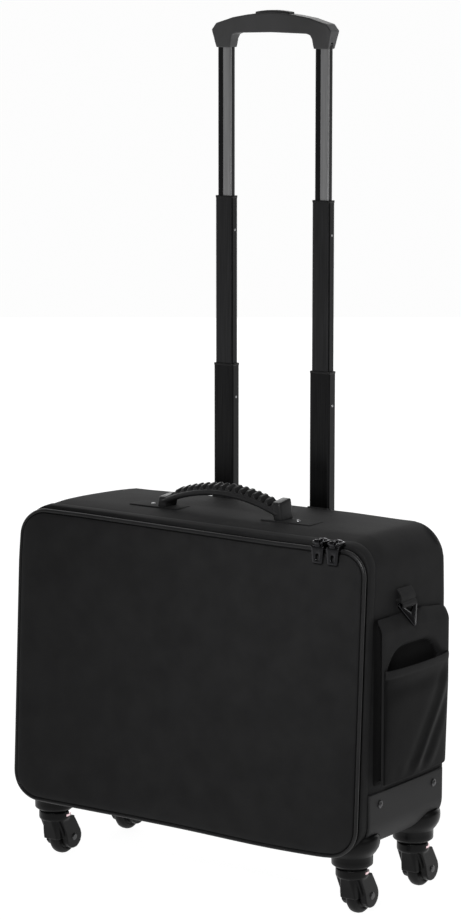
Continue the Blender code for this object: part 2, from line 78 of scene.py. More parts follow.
TUBE_Y = 86.1


def mended(mesh, merge=None, turn=True):
    """Joins mesh's points that are closer than merge, and turns its faces outwards."""
    joined = bmesh.new()
    joined.from_mesh(mesh)
    if merge:
        bmesh.ops.remove_doubles(joined, verts=joined.verts, dist=merge)
    if turn:
        bmesh.ops.recalc_face_normals(joined, faces=joined.faces)
    joined.to_mesh(mesh)
    joined.free()


def placed(name, mesh, body, replaces=()):
    """An object of mesh that rides on body and the nodes it stands for."""
    made = bpy.data.objects.new(name, mesh)
    bpy.context.collection.objects.link(made)
    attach(made, body)
    if replaces:
        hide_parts(*replaces)
    return made


def skin(name, sheets, material, body, replaces=()):
    """A mesh through grids of points in millimetres. Each sheet is (points, wraps, finish number):
    rows follow the first index and columns the second; "c" in wraps joins the last column to the
    first and "r" the last row to the first. The UV map holds distances along each grid in metres."""
    corners, quads, layers, finish = [], [], [], []
    total = 0
    for points, wraps, number in sheets:
        points = np.asarray(points, dtype=float) * MM
        rows, columns = points.shape[:2]
        index = np.arange(rows * columns).reshape(rows, columns) + total
        total += rows * columns
        corners.append(points.reshape(-1, 3))
        if "c" in wraps:
            index = np.concatenate([index, index[:, :1]], 1)
            points = np.concatenate([points, points[:, :1]], 1)
        if "r" in wraps:
            index = np.concatenate([index, index[:1]], 0)
            points = np.concatenate([points, points[:1]], 0)
        across = np.linalg.norm(np.diff(points, axis=1), axis=2).mean(0)
        down = np.linalg.norm(np.diff(points, axis=0), axis=2).mean(1)
        u, v = np.meshgrid(np.concatenate([[0], across.cumsum()]),
                           np.concatenate([[0], down.cumsum()]))
        layout = np.stack([u, v], -1)
        for source, kept in ((index, quads), (layout, layers)):
            kept.append(np.stack([source[:-1, :-1], source[:-1, 1:], source[1:, 1:], source[1:, :-1]],
                                 2).reshape((-1, 4) + source.shape[2:]))
        finish.append(np.broadcast_to(np.ravel(number), len(quads[-1])))
    mesh = bpy.data.meshes.new(name)
    mesh.from_pydata(np.concatenate(corners).tolist(), [], np.concatenate(quads).tolist())
    layer = mesh.uv_layers.new(name="UVMap")
    layer.data.foreach_set("uv", np.concatenate(layers).astype(np.float32).ravel())
    mesh.polygons.foreach_set("material_index", np.concatenate(finish).astype(np.int32))
    mended(mesh, 2e-6)
    mesh.shade_smooth()
    mesh.set_sharp_from_angle(angle=np.radians(50))
    for item in material if isinstance(material, (list, tuple)) else [material]:
        mesh.materials.append(item)
    return placed(name, mesh, body, replaces)


def capped(rows):
    """Rings of points, closed at both ends by the middle of the first ring and of the last."""
    ends = rows[[0, -1]].mean(1, keepdims=True).repeat(rows.shape[1], 1)
    return np.concatenate([ends[:1], rows, ends[1:]])


def nodes_of(material):
    """The node tree's parts that every finish here starts from: nodes, a link function, the shader."""
    material.use_nodes = True
    tree = material.node_tree
    shader = tree.nodes["Principled BSDF"]
    return tree.nodes, tree.links.new, shader


def shade_range(nodes, link, texture, low, high):
    """A colour ramp between two greys, low and high, driven by a texture's value."""
    ramp = nodes.new("ShaderNodeValToRGB")
    ramp.color_ramp.elements[0].position = 0.3
    ramp.color_ramp.elements[1].position = 0.7
    ramp.color_ramp.elements[0].color = (*low, 1)
    ramp.color_ramp.elements[1].color = (*high, 1)
    link(texture, ramp.inputs["Fac"])
    return ramp.outputs["Color"]


def noise(nodes, link, place, scale, detail=2.0):
    """A noise texture read at place."""
    made = nodes.new("ShaderNodeTexNoise")
    made.inputs["Scale"].default_value = scale
    made.inputs["Detail"].default_value = detail
    link(place, made.inputs["Vector"])
    return made.outputs["Fac"]


def bumped(nodes, link, height, strength, distance, under=None):
    """A bump of height, on top of the bump under it."""
    made = nodes.new("ShaderNodeBump")
    made.inputs["Strength"].default_value = strength
    made.inputs["Distance"].default_value = distance
    link(height, made.inputs["Height"])
    if under:
        link(under, made.inputs["Normal"])
    return made.outputs["Normal"]


def woven(name, low, high, thread, roughness, sheen, index=1.25):
    """Plain weave: two wave textures at right angles on the cloth's own map, multiplied into a
    bump, with a slow noise under them for the cloth's unevenness and its colour."""
    material = bpy.data.materials.new(name)
    nodes, link, shader = nodes_of(material)
    place = nodes.new("ShaderNodeTexCoord")
    threads = []
    for direction in ("X", "Y"):
        wave = nodes.new("ShaderNodeTexWave")
        wave.bands_direction = direction
        wave.inputs["Scale"].default_value = 0.314 / (thread * MM)
        link(place.outputs["UV"], wave.inputs["Vector"])
        threads.append(wave.outputs["Fac"])
    crossed = nodes.new("ShaderNodeMath")
    crossed.operation = "MULTIPLY"
    link(threads[0], crossed.inputs[0])
    link(threads[1], crossed.inputs[1])
    slow = noise(nodes, link, place.outputs["Object"], 38.0, 3.0)
    link(shade_range(nodes, link, slow, low, high), shader.inputs["Base Color"])
    soft = bumped(nodes, link, slow, 0.35, 0.0009)
    link(bumped(nodes, link, crossed.outputs["Value"], 0.30, 0.00008, soft), shader.inputs["Normal"])
    shader.inputs["Roughness"].default_value = roughness
    shader.inputs["IOR"].default_value = index
    shader.inputs["Sheen Weight"].default_value = sheen
    shader.inputs["Sheen Roughness"].default_value = 0.5
    return material


nylon = woven("black nylon", (0.0075, 0.0075, 0.0078), (0.0110, 0.0110, 0.0113), 0.9, 0.80, 0.01)
lining = woven("lining", (0.010, 0.010, 0.011), (0.015, 0.015, 0.016), 0.5, 0.75, 0.02)


def case_rim(top):
    """The case's rounded outline as corner centres and outward directions, anticlockwise from the
    lower right: a point at inset d is its centre plus (30 - d) times its direction."""
    turn = 12
    a = HALF_WIDTH - CORNER
    low = CASE_BOTTOM + CORNER
    high = top - CORNER
    centres = np.array([(a, low), (a, high), (-a, high), (-a, low)])
    core, way = [], []
    for side in range(4):
        here, after = centres[side], centres[(side + 1) % 4]
        count = 34 if side % 2 == 0 else 44
        share = np.linspace(0, 1, count, endpoint=False)[:, None]
        core.append(here + share * (after - here))
        way.append(np.full(count, side * np.pi / 2))
        core.append(np.repeat(after[None], turn, 0))
        way.append((side + np.linspace(0, 1, turn, endpoint=False)) * np.pi / 2)
    way = np.concatenate(way)
    return np.concatenate(core), np.stack([np.cos(way), np.sin(way)], -1)


LEAN = 0.0509
LID_TOP = 407.0
FACE_TOP_Y = -82.7


def lid_y(z):
    """The plane of the lid's face, which leans forward towards the floor."""
    return FACE_TOP_Y - (LID_TOP - z) * LEAN


def bowed(x, y, z, depth):
    """The soft lid sags a little past its board: up to 6 mm out along the left edge and down along
    the bottom, dying out 20 mm behind the face. Its top edge droops 3 to 9 mm, most on the right,
    and draws the top panel down with it over 50 mm."""
    fade = np.clip(1 - depth / 22.0, 0, 1)
    droop = 3.4 + 5.2 * np.clip((x + 150) / 260, 0, 1) - 3.0 * np.clip((x - 185) / 42, 0, 1)
    droop = droop * np.clip((z - 300) / 100, 0, 1) ** 1.5 * np.clip(1 - depth / 52, 0, 1) ** 1.4
    out = 5.6 * np.clip((-x - 130) / 90, 0, 1) ** 2 * np.clip((408 - z) / 60, 0, 1) ** 0.5
    low = np.clip((190 - z) / 110, 0, 1) ** 2 * (1.4 + 3.4 * np.exp(-((x - 120) / 95) ** 2))
    low = low * np.clip((225 - np.abs(x)) / 40, 0.25, 1)
    return x - out * fade, y, z - low * fade - droop


def swell(x, y, z):
    """Slow unevenness of cloth over board: three crossing sine waves, about 1 mm in all."""
    return (0.45 * np.sin(x / 31 + y / 47) * np.sin(z / 36 + 0.7)
            + 0.35 * np.sin(x / 19 - z / 23 + 1.3) + 0.25 * np.sin(y / 13 + z / 41 + x / 29))


def widened(x, z, inset, share):
    """The top corners grow rounder towards the back: points outside a circle of radius 30 + 13 times
    share squared, less the inset, are drawn in to it along its own radius."""
    radius = CORNER + 13 * share ** 2
    away = np.stack([np.abs(x) - HALF_WIDTH + radius, z - CASE_TOP + radius])
    distance = np.linalg.norm(away, axis=0)
    pull = np.where((away > 0).all(0) & (distance > radius - inset), (radius - inset) / distance, 1)
    return (np.sign(x) * (HALF_WIDTH - radius + away[0] * pull), CASE_TOP - radius + away[1] * pull)


def case_sleeve():
    """Rows run from the front lip over the outside to the back and home along the inside. A row is
    the outline at its own inset; its y slides from the leaning front to the upright back."""
    core, way = case_rim(CASE_TOP)
    band = np.array([(3.4, 12.3), (1.6, 12.2), (0.2, 12.5), (-0.7, 13.4), (-0.95, 16), (-0.95, 20),
                     (-0.9, 24), (-0.5, 25.0), (0.25, 25.5), (0.15, 26.4)])
    across = np.linspace(0, 1, 30)
    turned = np.linspace(0, np.pi / 2, 12)[1:]
    radius = 18.0
    rows = []
    front = lid_y(core[:, 1] + CORNER * way[:, 1])
    eased = 1.4 * np.clip((core[:, 1] + CORNER * way[:, 1] - 330) / 60, 0, 1)
    eased = eased * np.clip((np.abs(core[:, 0]) - 110) / 60, 0, 1)
    for inset, depth in band:
        rows.append((np.full(len(core), inset), front + depth))
    for share in across[1:]:
        crown = -1.2 * np.sin(np.pi * share) * np.abs(way).max(1) ** 8
        rows.append((crown + share ** 2 * eased,
                     front + 26.4 + share * (BACK_Y - radius - front - 26.4)))
    for angle in turned:
        rows.append((radius * (1 - np.cos(angle)) + np.cos(angle) * eased,
                     np.full(len(core), BACK_Y - radius + radius * np.sin(angle))))
    outside = len(rows)
    for inset, y in ((19.0, BACK_Y - 0.4), (19.4, BACK_Y - 1.5), (3.5, BACK_Y - 14)):
        rows.append((np.full(len(core), inset), np.full(len(core), y)))
    for share in (0.25, 0.5, 0.75):
        rows.append((np.full(len(core), 3.5), (1 - share) * (BACK_Y - 14) + share * (front + 12.4)))
    grid = []
    for inset, y in rows:
        flat = core + (CORNER - inset)[:, None] * way
        share = np.clip((y - front - 26) / (BACK_Y - 26 - front), 0, 1)
        x, z = widened(flat[:, 0], flat[:, 1], inset, share)
        grid.append(np.stack(bowed(x, y, z, y - front), -1))
    grid = np.array(grid)
    lift = swell(grid[..., 0], grid[..., 1], grid[..., 2]) * 0.55
    fade = np.zeros(len(grid))
    fade[len(band):len(band) + len(across) - 1] = np.sin(np.pi * across[1:]) ** 0.5
    grid[..., 0] += lift * fade[:, None] * way[:, 0]
    grid[..., 2] += lift * fade[:, None] * way[:, 1]
    inner = np.concatenate([grid[outside - 1:], grid[:1]], 0)
    return [(grid[:outside], "c", 0), (inner, "c", 1)]


def cut(piece, cutter):
    """piece with cutter's volume taken out of it, applied."""
    step = piece.modifiers.new("cut", "BOOLEAN")
    step.operation = "DIFFERENCE"
    step.solver = "EXACT"
    step.object = cutter
    bpy.context.view_layer.update()
    graph = bpy.context.evaluated_depsgraph_get()
    mesh = bpy.data.meshes.new_from_object(piece.evaluated_get(graph))
    piece.modifiers.remove(step)
    piece.data = mesh
    bpy.data.objects.remove(cutter, do_unlink=True)
    mesh.set_sharp_from_angle(angle=np.radians(50))


def rounded(half_a, half_b, radius, count=40):
    """Points round a rectangle with rounded corners, evenly by angle: its corner centre plus radius
    times the direction."""
    turn = (np.arange(count) + 0.5) / count * 2 * np.pi
    way = np.stack([np.cos(turn), np.sin(turn)], -1)
    return np.sign(way) * np.array([half_a - radius, half_b - radius]) + radius * way


sleeve = skin("case_sleeve", case_sleeve(), [nylon, lining], "root",
              replaces=("shell_gusset",))
for side in (-1, 1):
    loop = rounded(13.8, 7.8, 2.6)
    column = np.array([np.c_[loop + (side * TUBE_X, TUBE_Y), np.full(len(loop), z)]
                       for z in (380, 430)])
    cut(sleeve, skin("slot_cutter", [(capped(column), "c", 0)], nylon, "root"))


# Trim round the two slots: a narrow moulded bezel that follows the rounded top back edge, and
# keeps the cloth off the sliding tubes.
def glossed(nodes, link, value, shader, middle, spread):
    """Roughness that runs with value from spread under middle to spread over it."""
    gloss = nodes.new("ShaderNodeMapRange")
    gloss.inputs["To Min"].default_value = middle - spread
    gloss.inputs["To Max"].default_value = middle + spread
    link(value, gloss.inputs["Value"])
    link(gloss.outputs["Result"], shader.inputs["Roughness"])


def moulded(name, low, high, grain, roughness, depth=0.00006, index=1.32):
    """Moulded plastic or rubber: fine spark-eroded grain in the bump, and a slow change of grey and
    of gloss over the surface."""
    material = bpy.data.materials.new(name)
    nodes, link, shader = nodes_of(material)
    place = nodes.new("ShaderNodeTexCoord")
    fine = noise(nodes, link, place.outputs["Object"], 1 / (grain * MM))
    slow = noise(nodes, link, place.outputs["Object"], 22.0)
    link(shade_range(nodes, link, slow, low, high), shader.inputs["Base Color"])
    glossed(nodes, link, slow, shader, roughness, 0.06)
    shader.inputs["IOR"].default_value = index
    link(bumped(nodes, link, fine, 0.4, depth), shader.inputs["Normal"])
    return material


plastic = moulded("moulded plastic", (0.007, 0.007, 0.0073), (0.010, 0.010, 0.0104), 0.5, 0.42)


def beaded(path, out, up, radius, steps=12):
    """A round bead: at each point of path, a circle of radius in the plane of out and up."""
    turn = np.linspace(0, 2 * np.pi, steps, endpoint=False)
    ring = radius * (np.cos(turn)[:, None, None] * out[None] + np.sin(turn)[:, None, None] * up[None])
    return path[None] + ring


for side, label in ((-1, "left"), (1, "right")):
    loop = rounded(14.2, 8.3, 3.2, 48)
    past = np.clip(loop[:, 1] + TUBE_Y - (BACK_Y - 18), 0, 17.5)
    height = CASE_TOP - 18 + np.sqrt(18 ** 2 - past ** 2)
    path = np.c_[loop + (side * TUBE_X, TUBE_Y), height + 0.3]
    out = np.c_[loop / np.linalg.norm(loop, axis=1, keepdims=True), np.zeros(len(loop))]
    upward = np.tile([0.0, 0.0, 1.0], (len(loop), 1))
    skin("slot_trim_" + label, [(beaded(path, out, upward, 1.2), "cr", 0)], plastic, "root")


# Front lid: a foam panel covered in the same nylon, with a rounded edge, sewn to a shallow fabric
# rim. A round piping cord covers the seam. The lid hinges on its cloth along the bottom edge.
def quilt(half_a, half_b, radius, count_a, count_b):
    """A grid over a rounded rectangle, crowded towards its edges: rows at even sines of b, each
    stretched to the width there. Returns a, b and the distance in from the edge."""
    a = np.sin(np.linspace(-1, 1, count_a) * np.pi / 2)
    b = half_b * np.sin(np.linspace(-1, 1, count_b) * np.pi / 2)
    past = np.clip(np.abs(b) - (half_b - radius), 0, radius)
    reach = half_a - radius + np.sqrt(radius ** 2 - past ** 2)
    across, along = a[None] * reach[:, None], np.repeat(b[:, None], count_a, 1)
    corner = np.stack([np.abs(across) - half_a + radius, np.abs(along) - half_b + radius], -1)
    outside = np.linalg.norm(np.clip(corner, 0, None), axis=-1)
    return across, along, np.clip(radius - outside - np.clip(corner.max(-1), None, 0), 0, None)


def lid_panel():
    """The face lies on the leaning plane, rolls back 5 mm at its edge into the seam under the piping
    and is crowned 1.2 mm; the back is flat, 8 mm behind."""
    x, z, edge = quilt(HALF_WIDTH - 2.2, (LID_TOP - CASE_BOTTOM) / 2 - 2.2, 27.8, 96, 80)
    z = z + (LID_TOP + CASE_BOTTOM) / 2
    up = np.clip((z - CASE_BOTTOM) / (LID_TOP - CASE_BOTTOM), 0, 1)
    crown = 1.2 * np.clip(1 - (x / HALF_WIDTH) ** 2, 0, 1) * np.sin(np.pi * up)
    roll = 2.4 * np.exp(-edge / 6.0) + 2.6 * np.exp(-edge / 1.2) - crown
    ripple = 0.35 * swell(x * 0.8, z * 0.3, z) * np.clip(edge / 30, 0, 1)
    front = np.stack(bowed(x, lid_y(z) + roll - ripple, z, 2.0), -1)
    behind = np.minimum(edge * 1.5, 1.0) * 3.4
    back = np.stack(bowed(x, lid_y(z) + 5.0 + behind, z, 2.0), -1)
    return [(front, "", 0), (back, "", 1)]


lid_pad = skin("lid_pad", lid_panel(), [nylon, lining], "lid", replaces=("lid_panel",))


def carried(core, way, profile):
    """A closed profile of (inset, depth behind the lid's face) points carried round the outline."""
    rows = []
    for inset, depth in profile:
        flat = core + (CORNER - inset) * way
        rows.append(np.stack(bowed(flat[:, 0], lid_y(flat[:, 1]) + depth, flat[:, 1], depth), -1))
    return np.array(rows)


lid_core, lid_way = case_rim(LID_TOP)
rim_profile = [(3.4, 3.2), (1.6, 3.4), (0.9, 4.0), (0.9, 6.6), (1.2, 7.4), (1.8, 7.8), (2.9, 7.9),
               (3.0, 8.9), (4.4, 8.9), (4.4, 5.0)]
# Near-black copy of the nylon: painted shade in rims, notches, recesses and pocket insides.
painted_shade_nylon = woven("painted shade nylon", (0.0012, 0.0012, 0.0013), (0.0020, 0.0020, 0.0021), 0.6, 0.9, 0.0)
# The lid's rim in the near-black copy: painted shade in the gap between lid and body.
skin("lid_band", [(carried(lid_core, lid_way, rim_profile), "cr", 0)], painted_shade_nylon, "lid",
     replaces=("lid_rim",))

piping = moulded("piping cord", (0.009, 0.009, 0.0093), (0.013, 0.013, 0.0134), 0.4, 0.36)


def rim_bead(inset, depth, radius, steps=10):
    """A round cord along the lid's outline."""
    turn = np.linspace(0, 2 * np.pi, steps, endpoint=False)
    return carried(lid_core, lid_way,
                   np.c_[inset + radius * np.cos(turn), depth + radius * np.sin(turn)])


skin("lid_piping", [(rim_bead(0.1, 4.6, 2.1), "cr", 0)], piping, "lid")


# Mouth of the body: a bound edge with the zip's second tape, facing the lid's rim; its near-black
# nylon is painted shade between lid and body.
mouth_profile = [(4.2, 9.6), (3.4, 9.6), (3.2, 10.7), (2.4, 11.3), (0.9, 11.7), (0.6, 12.0),
                 (1.2, 12.2), (4.2, 12.2)]
skin("mouth_binding", [(carried(lid_core, lid_way, mouth_profile), "cr", 0)], painted_shade_nylon, "root",
     replaces=("body_zip",))


# Zip: two rows of moulded teeth, about 1.2 mm thick at a pitch of 2.4 mm, one row on each side of
# the split between lid and body, standing half a pitch apart so that they mesh. They run round the
# left, top and right sides; along the bottom the lid hangs on its cloth.
teeth_black = moulded("zip teeth", (0.010, 0.010, 0.0105), (0.014, 0.014, 0.0145), 0.3, 0.35)


def teeth_row(offset, depth, reach):
    """Small tapered blocks set round the outline at even distances: each tooth's eight corners are
    its place plus multiples of the local along, outward and depth directions."""
    flat = lid_core + (CORNER - 2.9) * lid_way
    closed = np.concatenate([flat, flat[:1]])
    run = np.concatenate([[0], np.linalg.norm(np.diff(closed, axis=0), axis=1).cumsum()])
    at = (np.arange(int(run[-1] / 2.4)) + offset) * run[-1] / int(run[-1] / 2.4)
    at = at[np.interp(at, run, closed[:, 1]) > CASE_BOTTOM + 6]
    count = len(at)
    ways = np.concatenate([lid_way, lid_way[:1]])
    x, z = np.interp(at, run, closed[:, 0]), np.interp(at, run, closed[:, 1])
    out = np.stack([np.interp(at, run, ways[:, 0]), np.interp(at, run, ways[:, 1])], -1)
    out /= np.linalg.norm(out, axis=1, keepdims=True)
    outward = np.stack([out[:, 0], np.zeros(count), out[:, 1]], -1)
    along = np.stack([-out[:, 1], np.zeros(count), out[:, 0]], -1)
    place = np.stack(bowed(x, lid_y(z) + depth, z, depth), -1)
    shape = np.array([(-0.6, -0.7, 0), (0.6, -0.7, 0), (0.6, 0.7, 0), (-0.6, 0.7, 0),
                      (-0.35, -0.45, reach), (0.35, -0.45, reach), (0.35, 0.45, reach),
                      (-0.35, 0.45, reach)])
    depthward = np.array([0.0, 1.0, 0.0])
    corners = (place[:, None] + shape[None, :, :1] * along[:, None]
               + shape[None, :, 1:2] * outward[:, None] + shape[None, :, 2:] * depthward)
    sides = np.array([(0, 1, 2, 3), (4, 7, 6, 5), (0, 4, 5, 1), (1, 5, 6, 2), (2, 6, 7, 3),
                      (3, 7, 4, 0)])
    faces = (np.arange(count)[:, None, None] * 8 + sides[None]).reshape(-1, 4)
    return corners.reshape(-1, 3), faces


for name, body, offset, depth, reach in (("zip_teeth_lid", "lid", 0.0, 8.3, 1.5),
                                         ("zip_teeth_body", "root", 0.5, 10.2, -1.5)):
    corners, faces = teeth_row(offset, depth, reach)
    mesh = bpy.data.meshes.new(name)
    mesh.from_pydata((corners * MM).tolist(), [], faces.tolist())
    mended(mesh)
    mesh.materials.append(teeth_black)
    placed(name, mesh, body)


# Zip sliders and pull tabs: die-cast metal with a dark gunmetal plating.
def metal(name, low, high, roughness, brushed=0.0):
    """Plated metal: a slow change of grey, faint wear in the gloss, and fine lines if brushed."""
    material = bpy.data.materials.new(name)
    nodes, link, shader = nodes_of(material)
    place = nodes.new("ShaderNodeTexCoord")
    stretch = nodes.new("ShaderNodeMapping")
    stretch.inputs["Scale"].default_value = (900, 900, 900 - 880 * brushed)
    link(place.outputs["Object"], stretch.inputs["Vector"])
    grain = noise(nodes, link, stretch.outputs["Vector"], 1.0)
    link(shade_range(nodes, link, grain, low, high), shader.inputs["Base Color"])
    glossed(nodes, link, grain, shader, roughness, 0.07)
    shader.inputs["Metallic"].default_value = 1.0
    return material


gunmetal = metal("gunmetal plating", (0.028, 0.028, 0.030), (0.045, 0.045, 0.047), 0.22)


def framed(outer, inner, low, high, soft):
    """A flat plate with a hole: the outer outline rises from low to high, runs in to the inner one
    and goes down it again. Its four edges are rounded off by soft."""
    middle = outer.mean(0)
    draw = (middle - outer) / np.linalg.norm(middle - outer, axis=1, keepdims=True) * soft
    push = (outer - inner) / np.linalg.norm(outer - inner, axis=1, keepdims=True) * soft
    rows = [(outer, low + soft), (outer, high - soft), (outer + draw * 0.3, high - 0.3 * soft),
            (outer + draw, high), (inner + push, high), (inner + 0.3 * push, high - 0.3 * soft),
            (inner, high - soft), (inner, low + soft), (inner + 0.3 * push, low + 0.3 * soft),
            (inner + push, low), (outer + draw, low), (outer + draw * 0.3, low + 0.3 * soft)]
    return [np.c_[flat, np.full(len(flat), level)] for flat, level in rows]


def bent(value, power):
    """value raised to power, with its sign kept."""
    return np.sign(value) * np.abs(value) ** power


def lump(centre, half, power_plan, power_rise, rows=14, columns=32):
    """A superellipsoid: a ball whose plan and whose rise are squared off by two powers."""
    tilt = np.linspace(-np.pi / 2, np.pi / 2, rows)[:, None]
    turn = np.linspace(0, 2 * np.pi, columns, endpoint=False)[None]
    flat = bent(np.cos(tilt), power_rise)
    return np.stack([centre[0] + half[0] * flat * bent(np.cos(turn), power_plan),
                     centre[1] + half[1] * flat * bent(np.sin(turn), power_plan),
                     centre[2] + half[2] * bent(np.sin(tilt), power_rise) + 0 * turn], -1)


PIVOT_Y = -87.1
PIVOT_Z = 408.6
for letter, x in (("a", 173.0), ("b", 192.0)):
    outer = rounded(6.8, 8.5, 2.6) + (x, -79.9)
    inner = rounded(4.1, 1.8, 1.2) + (x, -83.9)
    plate = np.array(framed(outer, inner, 406.9, 409.4, 0.5))
    shoe = lump((x, -79.6, 402.6), (5.6, 6.4, 5.0), 0.35, 0.25, 10, 28)
    tilt, around = np.meshgrid(np.linspace(-np.pi / 2, np.pi / 2, 9),
                               np.linspace(0, 2 * np.pi, 24, endpoint=False), indexing="ij")
    saddle = np.stack([x + 4.6 * bent(np.cos(around), 0.6) * np.cos(tilt),
                       -76.6 + 4.6 * bent(np.sin(around), 0.6) * np.cos(tilt),
                       409.4 + 2.3 * np.sin(tilt)], -1)
    skin("zip_slider_" + letter, [(plate, "cr", 0), (saddle, "c", 0), (shoe, "c", 0)], gunmetal,
         "slider_" + letter, replaces=("slider_" + letter,))
    turn = np.linspace(0, 2 * np.pi, 24, endpoint=False)
    section = np.linspace(0, 2 * np.pi, 10, endpoint=False)
    ring = 2.5 + 0.55 * np.cos(section)[:, None]
    eye = np.stack([x + 3.2 * bent(np.sin(section)[:, None], 0.5) + 0 * turn[None],
                    PIVOT_Y + ring * np.cos(turn)[None],
                    PIVOT_Z + ring * np.sin(turn)[None]], -1)
    shape = rounded(7.0, 9.3, 2.2, 48)
    shape[:, 0] *= 1 + 0.012 * shape[:, 1]
    slot_hole = rounded(2.0, 3.6, 1.8, 48) + (0, -2.5)
    tab = np.array(framed(shape, slot_hole, -0.95, 0.95, 0.35))
    tab = np.stack([x + tab[..., 0], PIVOT_Y + tab[..., 2], PIVOT_Z - 13.2 + tab[..., 1]], -1)
    neck = rounded(3.4, 1.0, 0.6, 24)
    stem = np.array([np.c_[neck + (x, PIVOT_Y), np.full(24, z)] for z in
                     (PIVOT_Z - 2.2, PIVOT_Z - 5.0)])
    skin("pull_tab_" + letter, [(eye, "cr", 0), (tab, "cr", 0), (stem, "c", 0)], gunmetal,
         "pull_" + letter, replaces=("pull_" + letter,))


# Back panel: padded nylon with a bead round it and two shallow channels over the trolley housings.
def back_pad():
    """Flat against the body, and crowned 2 mm between two grooves that run down over the tubes."""
    x, z, edge = quilt(HALF_WIDTH - 19.6, (CASE_TOP - CASE_BOTTOM) / 2 - 19.6, 14.0, 90, 60)
    z = z + (CASE_TOP + CASE_BOTTOM) / 2
    groove = np.exp(-((np.abs(x) - 42) / 2.4) ** 2) + np.exp(-((np.abs(x) - 88) / 2.4) ** 2)
    high = 2.3 * (1 - np.exp(-edge / 4.0)) - 1.1 * groove * np.clip(edge / 14, 0, 1)
    front = np.stack([x, 94.0 + 0 * x, z], -1)
    back = np.stack([x, 94.2 + high + 0.15 * swell(x, z * 0.4, z), z], -1)
    return [(back, "", 0), (front, "", 1)]


back_pad_piece = skin("back_pad", back_pad(), [nylon, lining], "root",
                      replaces=("back_panel",))
back_core, back_way = case_rim(CASE_TOP)
back_edge = back_core + (CORNER - 19.0) * back_way
bead_path = np.c_[back_edge[:, 0], np.full(len(back_edge), 95.2), back_edge[:, 1]]
skin("back_piping", [(beaded(bead_path, np.c_[back_way[:, 0], 0 * back_way[:, 0], back_way[:, 1]],
                             np.tile([0.0, 1.0, 0.0], (len(back_edge), 1)), 1.5), "cr", 0)], piping,
     "root")


# Carry handle: moulded rubber on a steel strip. A smooth rounded bead runs along each long edge,
# with a row of cross ribs between them, and each end stands on an upright post.
rubber = moulded("handle rubber", (0.013, 0.013, 0.0134), (0.019, 0.019, 0.0195), 0.8, 0.34, 0.00004)
HANDLE_Y = -10.4


def handle_arch(x):
    """Height of the handle's middle: a parabola that falls 9 mm in 57, and levels at the feet."""
    return np.maximum(434.6 - 9.0 * (x / 57.0) ** 2, 419.0)


def handle_bar():
    """The arch carried across in y and tilted up to the back. On top, cross ribs 8.6 mm apart stand
    between sunken notches; the notches are a clipped wave along x that dies out under the beads.
    The notches' top faces are numbered for the near-black nylon, painted shade between the ribs."""
    x = np.linspace(-78, 78, 300)
    section = np.linspace(0, 2 * np.pi, 44, endpoint=False)
    y = 10.2 * bent(np.cos(section), 0.5)
    rise = bent(np.sin(section), 0.6)
    rib = np.clip(1.6 * np.cos(2 * np.pi * x / 8.6) + 0.1, -1.0, 1.0)
    on_top = np.clip(1 - (np.abs(y + 0.5) / 8.6) ** 10, 0, 1) * (rise > 0.1)
    height = 1.2 + 4.2 * rise[None] * np.ones((len(x), 1))
    ribbed = (2.9 * rib - 0.6) * np.clip((68 - np.abs(x)) / 4, 0, 1)
    height = height + on_top[None] * ribbed[:, None]
    height = height + (0.16 * (y + 9) * np.clip((80 - np.abs(x))[:, None] / 20, 0, 1))
    across = np.repeat(x[:, None], len(y), 1)
    grid = np.stack([across, HANDLE_Y + y[None] + 0 * across, handle_arch(across) + height], -1)
    # Notch faces take the near-black nylon: painted shade between the ribs.
    notch = (rib < -0.2)[:, None] & (on_top > 0.5)[None] & (np.abs(x) < 66)[:, None]
    number = np.concatenate([np.zeros((1, len(y))), notch], 0).astype(int)
    return capped(grid), number


def handle_bead(y, radius, lift):
    """A round bead along one long edge, running out into a point at each end."""
    x = np.linspace(-82, 82, 120)
    section = np.linspace(0, 2 * np.pi, 16, endpoint=False)
    size = radius * np.clip((82.8 - np.abs(x)) / 9, 0.0, 1) ** 0.5
    across = np.repeat(x[:, None], 16, 1)
    return np.stack([across, y + size[:, None] * np.cos(section)[None],
                     handle_arch(across) + lift + size[:, None] * np.sin(section)[None]], -1)


bar, notched = handle_bar()
handle_parts = [(bar, "c", notched)]
for y, radius, lift in ((HANDLE_Y - 9.4, 3.3, 0.0), (HANDLE_Y + 9.2, 2.6, 2.6)):
    handle_parts.append((capped(handle_bead(y, radius, lift)), "c", 0))
skin("carry_grip", handle_parts, [rubber, painted_shade_nylon], "root", replaces=("carry_handle",))


rivet_steel = metal("rivet steel", (0.30, 0.30, 0.31), (0.45, 0.45, 0.46), 0.28)
for side, label in ((-1, "left"), (1, "right")):
    lower = 4.2 * (side < 0)
    foot = lump((side * 77.8, HANDLE_Y, 422.2 - lower), (5.6, 11.7, 10.8 - lower), 0.25, 0.2)
    foot[..., 0] += side * 0.14 * (414 - foot[..., 2])
    foot[..., 2] += 0.14 * (foot[..., 1] - HANDLE_Y) * np.clip((foot[..., 2] - 412) / 18, 0, 1)
    skin("handle_foot_" + label, [(foot, "c", 0)], rubber, "root")
    plate = lump((side * 89.0, HANDLE_Y, 411.2), (33.0, 14.0, 0.95), 0.12, 0.3, 10, 72)
    skin("handle_base_" + label, [(plate, "c", 0)], nylon, "root",
         replaces=("handle_patch_" + label,))


def domed(profile, steps=24):
    """A profile of (radius, height) points turned round its axis, as rows of (a, b, height)."""
    turn = np.linspace(0, 2 * np.pi, steps, endpoint=False)
    profile = np.asarray(profile, dtype=float)
    return np.stack([profile[:, :1] * np.cos(turn)[None], profile[:, :1] * np.sin(turn)[None],
                     profile[:, 1:] + 0 * turn[None]], -1)


